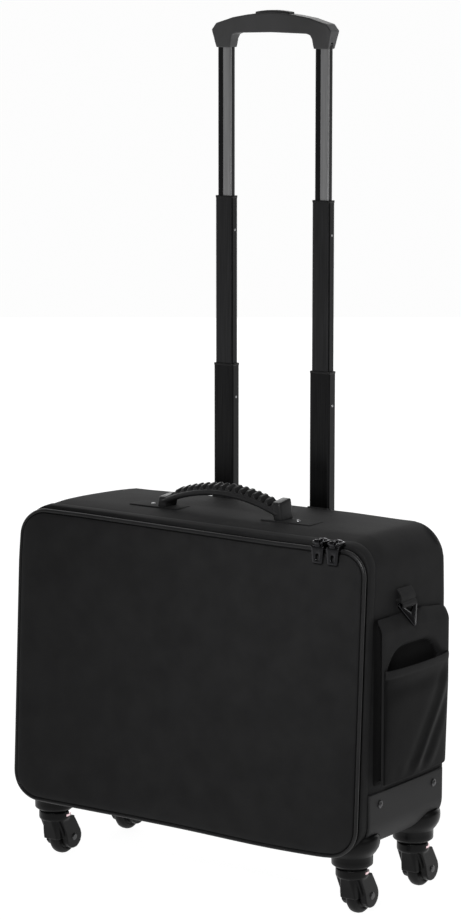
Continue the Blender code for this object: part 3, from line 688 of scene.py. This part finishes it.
for side, label in ((-1, "left"), (1, "right")):
    head = domed([(0, -4), (1.6, -4), (1.6, 0), (2.5, 0), (2.4, 0.5), (2.0, 1.0), (1.1, 1.3), (0, 1.4)])
    head = head + np.array([side * 97.5, HANDLE_Y, 412.1])
    skin("handle_stud_" + label, [(head, "c", 0)], rivet_steel, "root",
         replaces=("handle_rivet_" + label,))


axle_steel = metal("dark steel", (0.05, 0.05, 0.051), (0.09, 0.09, 0.092), 0.3)


# Side guards: moulded kick plates wrapped under the lower corners, each held by two rivets.
guard_plastic = moulded("guard plastic", (0.010, 0.010, 0.0104), (0.014, 0.014, 0.0145), 0.6, 0.62)
GUARD_FRONT = -71.0
GUARD_BACK = 79.0


def rim_of(grid):
    """The points round a grid's edge, in order."""
    return np.concatenate([grid[0], grid[1:, -1], grid[-1, -2::-1], grid[-2:0:-1, 0]])


def guard_plate(side):
    """The path runs down the side and round the corner; the front and back edges are straight, and
    the plate is 2.2 mm thick with softened edges."""
    drop = np.linspace(138, 105, 14)
    turn = np.linspace(0, np.pi / 2, 16)[1:]
    path = np.concatenate([np.c_[np.full(14, 227.0), drop],
                           np.c_[197 + 30 * np.cos(turn), 105 - 30 * np.sin(turn)]])
    out = np.concatenate([np.tile([1.0, 0.0], (14, 1)), np.c_[np.cos(turn), -np.sin(turn)]])
    run = np.arange(len(path)) / (len(path) - 1)
    y = np.linspace(0, 1, 40)
    front = GUARD_FRONT + 1.5 * run ** 3
    back = GUARD_BACK - 1.5 * run ** 3
    across = front[:, None] + (back - front)[:, None] * y[None]
    rows = []
    for off, inset in ((0.3, 0.0), (1.9, 0.0), (2.35, 0.4), (2.5, 1.0)):
        shrink = 1 - 2 * inset / 150
        middle = (front + back)[:, None] / 2
        level = path[:, 1] - inset * (1 - run) ** 6
        flat = np.stack([path[:, 0] + off * out[:, 0], level + off * out[:, 1]], -1)
        rows.append(np.stack([side * np.repeat(flat[:, :1], 40, 1), middle + (across - middle) * shrink,
                              np.repeat(flat[:, 1:], 40, 1)], -1))
    edges = [(np.stack([rim_of(low), rim_of(high)]), "c", 0) for low, high in zip(rows, rows[1:])]
    return [(rows[0], "", 0), (rows[-1], "", 0)] + edges


for side, label in ((-1, "left"), (1, "right")):
    skin("guard_" + label, guard_plate(side), guard_plastic, "root",
         replaces=("side_guard_" + label,))
    for place, y in (("front", -49.4), ("back", 59.6)):
        head = domed([(0, -3), (1.6, -3), (1.6, 0), (4.3, 0), (4.4, 0.6), (3.7, 1.3), (2.7, 1.1),
                      (2.3, 1.5), (1.4, 2.0), (0, 2.1)])
        head = np.stack([side * (229.6 + head[..., 2]), y + head[..., 0], 125 + head[..., 1]], -1)
        skin("guard_stud_" + label + "_" + place, [(head, "c", 0)], axle_steel, "root",
             replaces=("guard_rivet_" + label + "_" + place,))


# Side pockets: a flat padded pocket with bellows sides, its zip flap hidden at the top, and an
# open slip pocket on its face whose hemmed lip gapes over an arched opening.
POCKET_FRONT = -61.2
POCKET_REAR = 75.1
POCKET_LOW = 146.0
POCKET_HIGH = 326.5
POCKET_X = 239.0


def pocket_bag(side):
    """Face: a shallow pad whose arched recess drops 6 mm behind the slip pocket's lip; the recess is
    numbered for the near-black nylon, painted shade under the lip. Sides: the outline carried in from
    the face to the case through a bellows fold 6.5 mm in depth."""
    half_y = (POCKET_REAR - POCKET_FRONT) / 2
    half_z = (POCKET_HIGH - POCKET_LOW) / 2
    y, z, edge = quilt(half_y, half_z, 4.0, 90, 110)
    y = y + (POCKET_REAR + POCKET_FRONT) / 2
    z = z + (POCKET_HIGH + POCKET_LOW) / 2
    slope = -7.0 * np.clip((z - 311) / 15.5, 0, 1) ** 1.6
    face = POCKET_X + 1.2 * (1 - np.exp(-edge / 6)) - 1.2 + slope
    face = face + 0.5 * swell(y * 1.4, z * 0.7, z * 1.3) * np.clip(edge / 12, 0, 1)
    arch = 293.5 - 24 * np.clip(np.abs(y - 3) / 55, 0, 1) ** 4
    inside = 1 / (1 + np.exp((z - arch) / 1.0)) / (1 + np.exp((np.abs(y - 3) - 54) / 1.2))
    lower = 1 / (1 + np.exp((225 - z) / 4.0))
    face = face - 6.5 * inside * lower
    face = face - 3.0 * np.clip((240 - z) / 94, 0, 1) * np.clip((y - 10) / 65, 0, 1)
    z = z - 5.0 * np.clip((y - 30) / 45, 0, 1) * np.clip((z - 250) / 76, 0, 1)
    # The recess under the lip is marked for painted shade.
    number = ((inside * lower)[1:, 1:] > 0.35).astype(int)
    outline = rim_of(np.stack([y, z], -1))
    face_edge = rim_of(face)
    centre = np.array([(POCKET_REAR + POCKET_FRONT) / 2, (POCKET_HIGH + POCKET_LOW) / 2])
    inward = centre - outline
    inward = inward / np.linalg.norm(inward, axis=1, keepdims=True)
    rows = []
    for share in np.linspace(0, 1, 12):
        fold = 6.5 * np.sin(np.pi * share) ** 0.6
        flat = outline + inward * fold
        rows.append(np.c_[side * ((1 - share) * face_edge + share * 227.6), flat])
    front = np.stack([side * face, y, z], -1)
    base = np.stack([side * np.full(y.shape, 227.6), y, z], -1)
    return front, number, np.array(rows), base


# A darker copy of the nylon for the slip pocket's face: painted shade on the sheet.
shaded_slip_nylon = woven("slip pocket nylon, painted shade", (0.0020, 0.0020, 0.0021), (0.0036, 0.0036, 0.0038), 0.8, 0.60,
              0.0, 1.18)


def slip_pocket(side):
    """A sheet sewn down at its bottom and sides: it stands off as a sine across, most at the lip,
    with long creases running up and back from the lower front corner. The lip is a folded hem."""
    across, up = np.meshgrid(np.linspace(0, 1, 90), np.linspace(0, 1, 80))
    y = -57.0 + across * 127.5
    z = 148.5 + up * 123.5
    full = np.clip(np.sin(np.pi * np.clip(across, 0.0, 1.0)), 0, None) ** 0.42
    stand = (1.2 + 6.4 * up ** 1.2 - 2.4 * np.exp(-((up - 0.84) / 0.08) ** 2)) * full
    slant = (y * 0.62 - (z - 150) * 0.42)
    crease = 1.15 * np.exp(-((slant - 2) / 4.2) ** 2) + 0.8 * np.exp(-((slant - 21) / 5.0) ** 2)
    crease = crease - 0.7 * np.exp(-((slant - 11) / 4.0) ** 2) - 0.55 * np.exp(-((slant + 9) / 5.0) ** 2)
    crease = crease + 0.35 * np.sin(y / 4.6) * np.exp(-((z - 152) / 10) ** 2)
    hold = np.clip(full, 0, 1) * np.clip((1 - up) * 6, 0, 1) * np.clip(up * 8, 0, 1)
    hem = 0.9 * np.exp(-((up - 0.965) / 0.035) ** 6)
    taper = 3.0 * np.clip((240 - z) / 94, 0, 1) * np.clip((y - 10) / 65, 0, 1)
    x = POCKET_X + 0.3 + stand - taper + 1.5 * crease * hold + 0.5 * hold * swell(y * 1.3, z, z * 1.5)
    lip = np.stack([side * (x + hem), y, z], -1)
    inner = np.stack([side * (x - 0.9), y, z], -1)
    hemmed = np.repeat(np.where(up[1:, :1] > 0.93, 2, 0), 89, 1)
    return [(lip, "", hemmed), (inner, "", 1), (np.stack([rim_of(lip), rim_of(inner)]), "c", 0)]


for side, label in ((-1, "left"), (1, "right")):
    front, number, gusset, base = pocket_bag(side)
    # The recess, the bellows sides and the base behind take the near-black nylon: painted shade.
    bag = skin("pocket_" + label, [(front, "", number), (gusset, "c", 1), (base, "", 1)], [nylon, painted_shade_nylon],
               "root", replaces=("side_pocket_" + label,))
    # Slip face in the darker copy and its inside in the near-black nylon: painted shade; hem plain
    # nylon.
    slip = skin("slip_pocket_" + label, slip_pocket(side), [shaded_slip_nylon, painted_shade_nylon, nylon], "root")


# Strap rings: a loop of nylon webbing sewn to the side holds a flat triangular metal ring.
LOOP_Y = -4.4
RING_X = 233.5
RING_Z = 336.0
webbing = woven("webbing", (0.006, 0.006, 0.0063), (0.011, 0.011, 0.0114), 1.6, 0.7, 0.03)


def webbing_loop(side):
    """A strip 28 mm wide: down from the stitches, round the ring's bar and back up behind itself."""
    turn = np.radians(np.linspace(75, -235, 30))
    bow = np.c_[RING_X + 3.3 * np.cos(turn), RING_Z + 3.3 * np.sin(turn)]
    lead = np.linspace(0, 1, 12)[:-1, None]
    start = np.array([228.7, RING_Z + 17])
    path = np.concatenate([start + lead * (bow[0] - start) + np.c_[2.2 * np.sin(np.pi * lead), 0 * lead],
                           bow, [[228.2, RING_Z + 6]]])
    tangent = np.gradient(path, axis=0)
    tangent /= np.linalg.norm(tangent, axis=1, keepdims=True)
    out = np.stack([tangent[:, 1], -tangent[:, 0]], -1) * -0.75
    y = np.linspace(-14, 14, 16)
    section = np.concatenate([np.c_[y, np.full(16, 1.0)], np.c_[y[::-1], np.full(16, -1.0)]])
    flat = path[:, None] + out[:, None] * section[None, :, 1:]
    return np.stack([side * flat[..., 0], LOOP_Y + section[None, :, 0] + 0 * flat[..., 0],
                     flat[..., 1]], -1)


def ring_plate(side):
    """A triangle with rounded corners, hanging point down and leaning out by 22 degrees. Its band is
    flat, 3.4 mm wide and 2.6 mm thick, wider at the point."""
    turn = np.linspace(0, 2 * np.pi, 72, endpoint=False)
    way = np.c_[np.cos(turn), np.sin(turn)]
    corners = np.array([(-15.0, -0.4), (15.0, -0.4), (0.0, -22.0)])
    reach = way @ corners.T
    sharp = np.exp((reach - reach.max(1, keepdims=True)) * 1.2)
    middle = (sharp @ corners) / sharp.sum(1, keepdims=True)
    outer = middle + 2.9 * way
    inner = middle * np.array([0.46, 0.20]) + np.array([0, -4.4]) + 1.0 * way
    rows = np.array(framed(outer, inner, -1.3, 1.3, 0.7))
    lean = np.radians(22)
    across, down, thick = rows[..., 0], rows[..., 1], rows[..., 2]
    return np.stack([side * (RING_X - down * np.sin(lean) + thick * np.cos(lean)), LOOP_Y + across,
                     RING_Z + down * np.cos(lean) + thick * np.sin(lean)], -1)


for side, label in ((-1, "left"), (1, "right")):
    skin("webbing_loop_" + label, [(capped(webbing_loop(side)), "c", 0)], webbing, "root",
         replaces=("ring_loop_" + label,))
    skin("triangle_ring_" + label, [(ring_plate(side), "cr", 0)], gunmetal, "ring_" + label,
         replaces=("strap_ring_" + label,))


# Trolley tubes: three stages of drawn aluminium, the lower black, the middle a little lighter and
# the smallest satin grey with a black side. The lower and middle stages' sides take a darker black,
# painted shade, and the smallest stage's grey stops 1.4 mm left of the middle of its front and back
# faces, leaving a black strip that is painted shade. A moulded collar closes the top of each larger
# tube, and a sprung pin shows as a dot on the outer side near the top.
tube_black = metal("black anodising", (0.020, 0.020, 0.0206), (0.028, 0.028, 0.0288), 0.30, 1.0)
tube_middle = metal("middle anodising", (0.034, 0.034, 0.035), (0.048, 0.048, 0.0495), 0.36,
                    1.0)
tube_side_shade = metal("painted shade on tube sides", (0.010, 0.010, 0.0104), (0.015, 0.015, 0.0155), 0.32, 1.0)
tube_grey = metal("grey anodising", (0.30, 0.30, 0.304), (0.37, 0.37, 0.374), 0.40, 1.0)


def tube_wall(x, half_a, half_b, levels):
    """A rectangle with rounded corners, its points spread evenly along it, drawn out along z."""
    loop = rounded(half_a, half_b, 2.2, 96)
    closed = np.concatenate([loop, loop[:1]])
    run = np.concatenate([[0], np.linalg.norm(np.diff(closed, axis=0), axis=1).cumsum()])
    even = np.linspace(0, run[-1], 96, endpoint=False)
    loop = np.stack([np.interp(even, run, closed[:, 0]), np.interp(even, run, closed[:, 1])], -1)
    return loop + (x, TUBE_Y), np.array([np.c_[loop + (x, TUBE_Y), np.full(96, z)] for z in levels])


STAGES = (("lower", 13.0, 7.0, 354.0, 563.4), ("middle", 11.4, 5.9, 518.0, 752.5),
          ("upper", 9.3, 4.4, 707.0, 929.5))
COLLARS = (("lower", 13.0, 7.0, 563.4, (11.6, 6.1)), ("middle", 11.4, 5.9, 752.5, (9.5, 4.6)))
PIN_DOTS = (("lower", 13.0, 525.4), ("middle", 11.4, 714.5))
for side, label in ((-1, "left"), (1, "right")):
    for stage, half_a, half_b, low, high in STAGES:
        x = side * TUBE_X
        loop, wall = tube_wall(x, half_a, half_b, (low, high))
        hollow = (loop - (x, TUBE_Y)) * (1 - 0.8 / np.array([half_a, half_b])) + (x, TUBE_Y)
        inner = np.array([np.c_[hollow, np.full(96, z)] for z in (high, low)])
        made = skin(stage + "_stage_" + label, [(np.concatenate([wall, inner]), "cr", 0)],
                    [tube_middle if stage == "middle" else tube_black, tube_side_shade, tube_grey],
                    "stage_" + stage,
                    replaces=(stage + "_tube_" + label,))
        normal = np.empty(len(made.data.polygons) * 3, dtype=np.float32)
        middle = normal.copy()
        made.data.polygons.foreach_get("normal", normal)
        made.data.polygons.foreach_get("center", middle)
        normal, middle = normal.reshape(-1, 3), middle.reshape(-1, 3)
        # Faces turned to x take the darker black: painted shade on the tube's sides.
        number = np.where(np.abs(normal[:, 0]) > 0.7, 1, 0)
        if stage == "upper":
            # Grey only from 1.4 mm left of the middle; the black strip left of it is painted shade.
            central = (middle[:, 0] - x * MM > -1.4 * MM) & (np.abs(normal[:, 1]) > 0.45)
            number = np.where(central, 2, 0)
        made.data.polygons.foreach_set("material_index", number.astype(np.int32))
    for stage, half_a, half_b, level, hole in COLLARS:
        outer = rounded(half_a + 0.3, half_b + 0.3, 2.4, 60) + (side * TUBE_X, TUBE_Y)
        inner = rounded(hole[0], hole[1], 2.2, 60) + (side * TUBE_X, TUBE_Y)
        skin("collar_" + stage + "_" + label, [(np.array(framed(outer, inner, level - 2.4, level + 0.2,
                                                                0.3)), "cr", 0)], plastic,
             "stage_" + stage)
    for stage, half_a, level in PIN_DOTS:
        dot = domed([(0, -0.7), (1.5, -0.7), (1.5, 0.0), (1.3, 0.2), (0.8, 0.35), (0, 0.4)])
        dot = np.stack([side * TUBE_X + half_a + dot[..., 2], TUBE_Y + dot[..., 0], level + dot[..., 1]],
                       -1)
        skin("pin_dot_" + stage + "_" + label, [(dot, "c", 0)], rivet_steel, "stage_" + stage)


# Grip: one hollow moulding pushed over both upper tubes, with soft edges all round, and a push
# button let into the top of its arch.
grip_plastic = moulded("grip plastic", (0.072, 0.072, 0.073), (0.088, 0.088, 0.090), 0.5, 0.42)


def flared(points):
    """Shapes the grip's legs about their tubes: 4 % broader inwards at the foot and 22 % narrower at
    the arch, 14 % broader outwards at the foot and 36 % at the shoulder, thinner front to back at
    the foot; the arch rises 1.4 mm."""
    x, y, z = points.T / MM
    far = np.abs(x) - TUBE_X
    rise = np.clip((z - 917.5) / 18.5, 0, 1)
    share = np.clip((np.abs(x) - 38) / 14, 0, 1)
    scale = np.where(far > 0, 1.14 + 0.22 * rise ** 2, 1.04 - 0.26 * rise)
    wide = np.sign(x) * (TUBE_X + far * scale)
    return np.stack([x * (1 - share) + wide * share, TUBE_Y + (y - TUBE_Y) * (0.82 + 0.18 * rise),
                     z + 1.4 * np.clip((z - 928) / 10, 0, 1)], -1) * MM


def softened(name, node, voxel, rounds, material, body, reshape=None):
    """A copy of a frame node, its loose faces merged, rebuilt in even quads of one voxel's size and
    relaxed, so that every edge has the small radius that a moulding has."""
    source = next(item for item in bpy.data.objects if item.get("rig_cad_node") == node)
    mesh = source.data.copy()
    mended(mesh, 1e-6, turn=False)
    if reshape:
        points = np.empty(len(mesh.vertices) * 3, dtype=np.float32)
        mesh.vertices.foreach_get("co", points)
        mesh.vertices.foreach_set("co", reshape(points.reshape(-1, 3)).astype(np.float32).ravel())
    mesh.name = name
    mesh.materials.clear()
    mesh.materials.append(material)
    made = bpy.data.objects.new(name, mesh)
    bpy.context.collection.objects.link(made)
    blocks = made.modifiers.new("blocks", "REMESH")
    blocks.mode = "VOXEL"
    blocks.voxel_size = voxel * MM
    ease = made.modifiers.new("ease", "SMOOTH")
    ease.factor = 0.5
    ease.iterations = rounds
    bpy.context.view_layer.update()
    graph = bpy.context.evaluated_depsgraph_get()
    made.data = bpy.data.meshes.new_from_object(made.evaluated_get(graph))
    made.modifiers.clear()
    made.data.name = name
    made.data.shade_smooth()
    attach(made, body)
    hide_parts(node)


softened("trolley_grip", "grip", 0.7, 5, grip_plastic, "stage_upper", flared)
softened("grip_button", "button", 0.6, 4, grip_plastic, "release", flared)


# Casters: a moulded cup under each lower corner, a hooded swivel fork that trails the wheel, and a
# hard rubber wheel on an axle. A bright bearing race shows between cup and fork.
caster_plastic = moulded("caster plastic", (0.0024, 0.0024, 0.0025), (0.0038, 0.0038, 0.0040), 0.5, 0.34,
                         index=1.22)
wheel_rubber = moulded("wheel rubber", (0.0030, 0.0030, 0.0031), (0.0048, 0.0048, 0.0050), 0.7, 0.5,
                       index=1.25)
# The race's pink tint is a painted reflection on bright steel.
race_metal = metal("bearing race", (0.72, 0.50, 0.53), (0.95, 0.72, 0.75), 0.25)


def corner_cup(x, y, front):
    """A turned cup whose upper part stops just inside the case's underside, so that it climbs round
    the outside of the rounded corner."""
    profile = np.array([(0, 54.4), (16.5, 54.4), (17.6, 54.7), (21.9, 58.0), (22.4, 58.9), (22.5, 63),
                        (22.5, 68.4), (22.9, 69.2), (25.8, 72.8), (28.6, 77.5), (29.8, 82), (30, 86),
                        (29.6, 90), (27.5, 92.5), (0, 92.5)])
    turn = np.linspace(0, 2 * np.pi, 56, endpoint=False)
    across = x + profile[:, :1] * np.cos(turn)[None]
    along = y + profile[:, :1] * np.sin(turn)[None]
    if front:
        along = np.maximum(along, -88.3)
    past = np.clip(np.abs(across) - 197, 0, 29.9)
    under = np.where(np.abs(across) > 227, 92.5, 105 - np.sqrt(900 - past ** 2) + 1.2)
    return np.stack([across, along, np.minimum(profile[:, 1:] + 0 * across, under)], -1)


for side, s_label in ((-1, "left"), (1, "right")):
    for end, e_label in ((-1, "front"), (1, "back")):
        label = e_label + "_" + s_label
        x, y = side * 202.0, 1.0 + end * 62.0
        skin("corner_cup_" + label, [(corner_cup(x, y, end < 0), "c", 0)], caster_plastic, "root",
             replaces=("caster_cup_" + label,))
        softened("caster_fork_" + label, "fork_" + label, 0.75, 6, caster_plastic, "fork_" + label)
        arcs = []
        for flip in (-1, 1):
            turn = np.radians(np.linspace(-6, 42, 14))
            band = np.array([(17.3, 48.6), (18.4, 48.6), (18.7, 49.6), (18.4, 51.0), (17.3, 51.2)])
            arc = np.stack([x + flip * band[:, :1] * np.cos(turn)[None],
                            y + band[:, :1] * np.sin(turn)[None],
                            band[:, 1:] + 0 * turn[None]], -1)
            ends = arc[:, [0, -1]].mean(0, keepdims=True).repeat(5, 0)
            arcs.append((np.concatenate([ends[:, :1], arc, ends[:, 1:]], 1), "r", 0))
        skin("bearing_race_" + label, arcs, race_metal, "fork_" + label)
        wheel = domed([(2.8, -6.3), (9.0, -6.3), (10.0, -5.2), (14.6, -5.0), (15.8, -6.4), (17.0, -6.5),
                       (19.0, -5.6), (20.4, -3.9), (21.0, -1.6), (21.0, 1.6), (20.4, 3.9), (19.0, 5.6),
                       (17.0, 6.5), (15.8, 6.4), (14.6, 5.0), (10.0, 5.2), (9.0, 6.3), (2.8, 6.3)], 48)
        wheel = np.stack([x + wheel[..., 2], y + 15.6 + wheel[..., 0], 21.0 + wheel[..., 1]], -1)
        skin("tyre_" + label, [(wheel, "cr", 0)], wheel_rubber, "wheel_" + label,
             replaces=("wheel_" + label,))


# Inside: boards covered in black lining, a padded divider, and plain steel housings with a foot
# bridge that carry the trolley tubes.
def slab(low, high, soft, crown):
    """A thin upholstered board between two corners: a quilt grid on its broad side, each face
    crowned, closed round its edge."""
    low, high = np.asarray(low, dtype=float), np.asarray(high, dtype=float)
    thin = int(np.argmin(high - low))
    wide = [axis for axis in range(3) if axis != thin]
    half = (high - low) / 2
    a, b, edge = quilt(half[wide[0]], half[wide[1]], soft, 40, 40)
    sheets = []
    for face in (-1, 1):
        grid = np.zeros(a.shape + (3,))
        grid[..., wide[0]] = a
        grid[..., wide[1]] = b
        rounding = half[thin] * np.clip(edge / 1.5, 0, 1) ** 0.5
        grid[..., thin] = face * rounding - face * crown * np.exp(-edge / 9)
        grid[..., thin] *= np.clip(edge * 1e3, 0, 1)
        sheets.append((grid + (low + high) / 2, "", 0))
    return sheets


for name, node, soft in (("lined_back_board", "inner_back_board", 24.0),
                         ("padded_divider", "divider", 6.0), ("floor_board", "base_board", 8.0)):
    corners = [np.array(corner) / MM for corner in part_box(node)]
    skin(name, slab(corners[0], corners[1], soft, 0.5), lining, "root",
         replaces=(node,))

housing_steel = metal("housing steel", (0.35, 0.35, 0.36), (0.48, 0.48, 0.49), 0.4, 1.0)
for side, label in ((-1, "left"), (1, "right")):
    channel = [np.array([np.c_[rounded(a, b, 2.4, 48) + (side * TUBE_X, TUBE_Y - 0.3), np.full(48, z)]
                         for z in levels]) for a, b, levels in ((14.4, 8.2, (97.5, 393)),
                                                                (13.6, 7.5, (393, 97.5)))]
    skin("tube_channel_" + label, [(np.concatenate(channel), "cr", 0)], housing_steel, "root",
         replaces=("housing_" + label,))
for item in list(bpy.data.objects):
    for start, material in (("lock_pin", housing_steel), ("release_link", housing_steel),
                            ("axle", axle_steel), ("housing_bridge", plastic)):
        if item.get("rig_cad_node", "").startswith(start):
            item.data.materials.clear()
            item.data.materials.append(material)


# Studio: a paper floor that glows white, painted light, its glow fading across it from 0.95 to 0.42;
# a soft key light from the front right, weak ones from above and from both sides, and a wide light
# panel behind.
painted_glow_floor = bpy.data.materials.new("painted glow floor")
nodes, link, shader = nodes_of(painted_glow_floor)
shader.inputs["Base Color"].default_value = (0.25, 0.25, 0.25, 1)
shader.inputs["Roughness"].default_value = 0.9
shader.inputs["Specular IOR Level"].default_value = 0.0
shader.inputs["Emission Color"].default_value = (1, 1, 1, 1)
place = nodes.new("ShaderNodeTexCoord")
turned = nodes.new("ShaderNodeMapping")
turned.inputs["Rotation"].default_value = (0, 0, np.radians(-124.9))
turned.inputs["Scale"].default_value = (3.0, 3.0, 3.0)
turned.inputs["Location"].default_value = (1.75, 0, 0)
link(place.outputs["Object"], turned.inputs["Vector"])
# The gradient fades the floor's glow across it: a painted fall-off of light.
fall = nodes.new("ShaderNodeTexGradient")
link(turned.outputs["Vector"], fall.inputs["Vector"])
level = nodes.new("ShaderNodeMapRange")
level.inputs["To Min"].default_value = 0.42
level.inputs["To Max"].default_value = 0.95
link(fall.outputs["Fac"], level.inputs["Value"])
link(level.outputs["Result"], shader.inputs["Emission Strength"])
floor_mesh = bpy.data.meshes.new("studio_floor")
floor_mesh.from_pydata([(-90, -90, 0), (90, -90, 0), (90, 90, 0), (-90, 90, 0)], [], [(0, 1, 2, 3)])
floor_mesh.materials.append(painted_glow_floor)
studio_floor = bpy.data.objects.new("studio_floor", floor_mesh)
bpy.context.collection.objects.link(studio_floor)

world = bpy.data.worlds.new("studio")
world.use_nodes = True
sky = world.node_tree.nodes["Background"]
sky.inputs["Color"].default_value = (1, 1, 1, 1)
sky.inputs["Strength"].default_value = 0.12
bpy.context.scene.world = world
bpy.context.scene.view_settings.view_transform = "Standard"

for name, place, aim, size, power in (("key", (0.9, -1.9, 1.5), (0.2, -0.1, 0.42), 24.0, 210.0),
                                      ("top", (0.2, 0.4, 2.9), (0, 0, 0.4), 1.8, 4.0),
                                      ("right", (2.6, 0.0, 1.3), (0, 0, 0.6), 1.2, 6.0),
                                      ("left", (-2.6, -0.8, 1.2), (0, 0, 0.5), 1.2, 9.0),
                                      ("back", (-2.3, 5.2, 3.1), (-0.04, 2.0, 3.1), 12.0, 340.0)):
    lamp = bpy.data.lights.new(name, "SPOT" if name == "key" else "AREA")
    if name == "key":
        lamp.spot_size = np.radians(size)
        lamp.spot_blend = 1.0
        lamp.shadow_soft_size = 0.25
    else:
        lamp.shape = "RECTANGLE"
        lamp.size = size
        lamp.size_y = min(size, 6.2)
    lamp.energy = power
    light = bpy.data.objects.new(name, lamp)
    light.location = place
    direction = np.array(aim) - np.array(place)
    flat = np.hypot(direction[0], direction[1])
    light.rotation_euler = (np.arctan2(flat, -direction[2]), 0, np.arctan2(-direction[0], direction[1]))
    bpy.context.collection.objects.link(light)

lens = bpy.data.cameras.new("camera")
lens.lens = 122.508
lens.sensor_width = 36.0
lens.clip_end = 400.0
camera = bpy.data.objects.new("camera", lens)
camera.location = (1.95207, -2.79456, 1.00948)
camera.rotation_euler = (np.radians(90 - 9.0105), 0, np.radians(34.928))
bpy.context.collection.objects.link(camera)
bpy.context.scene.camera = camera
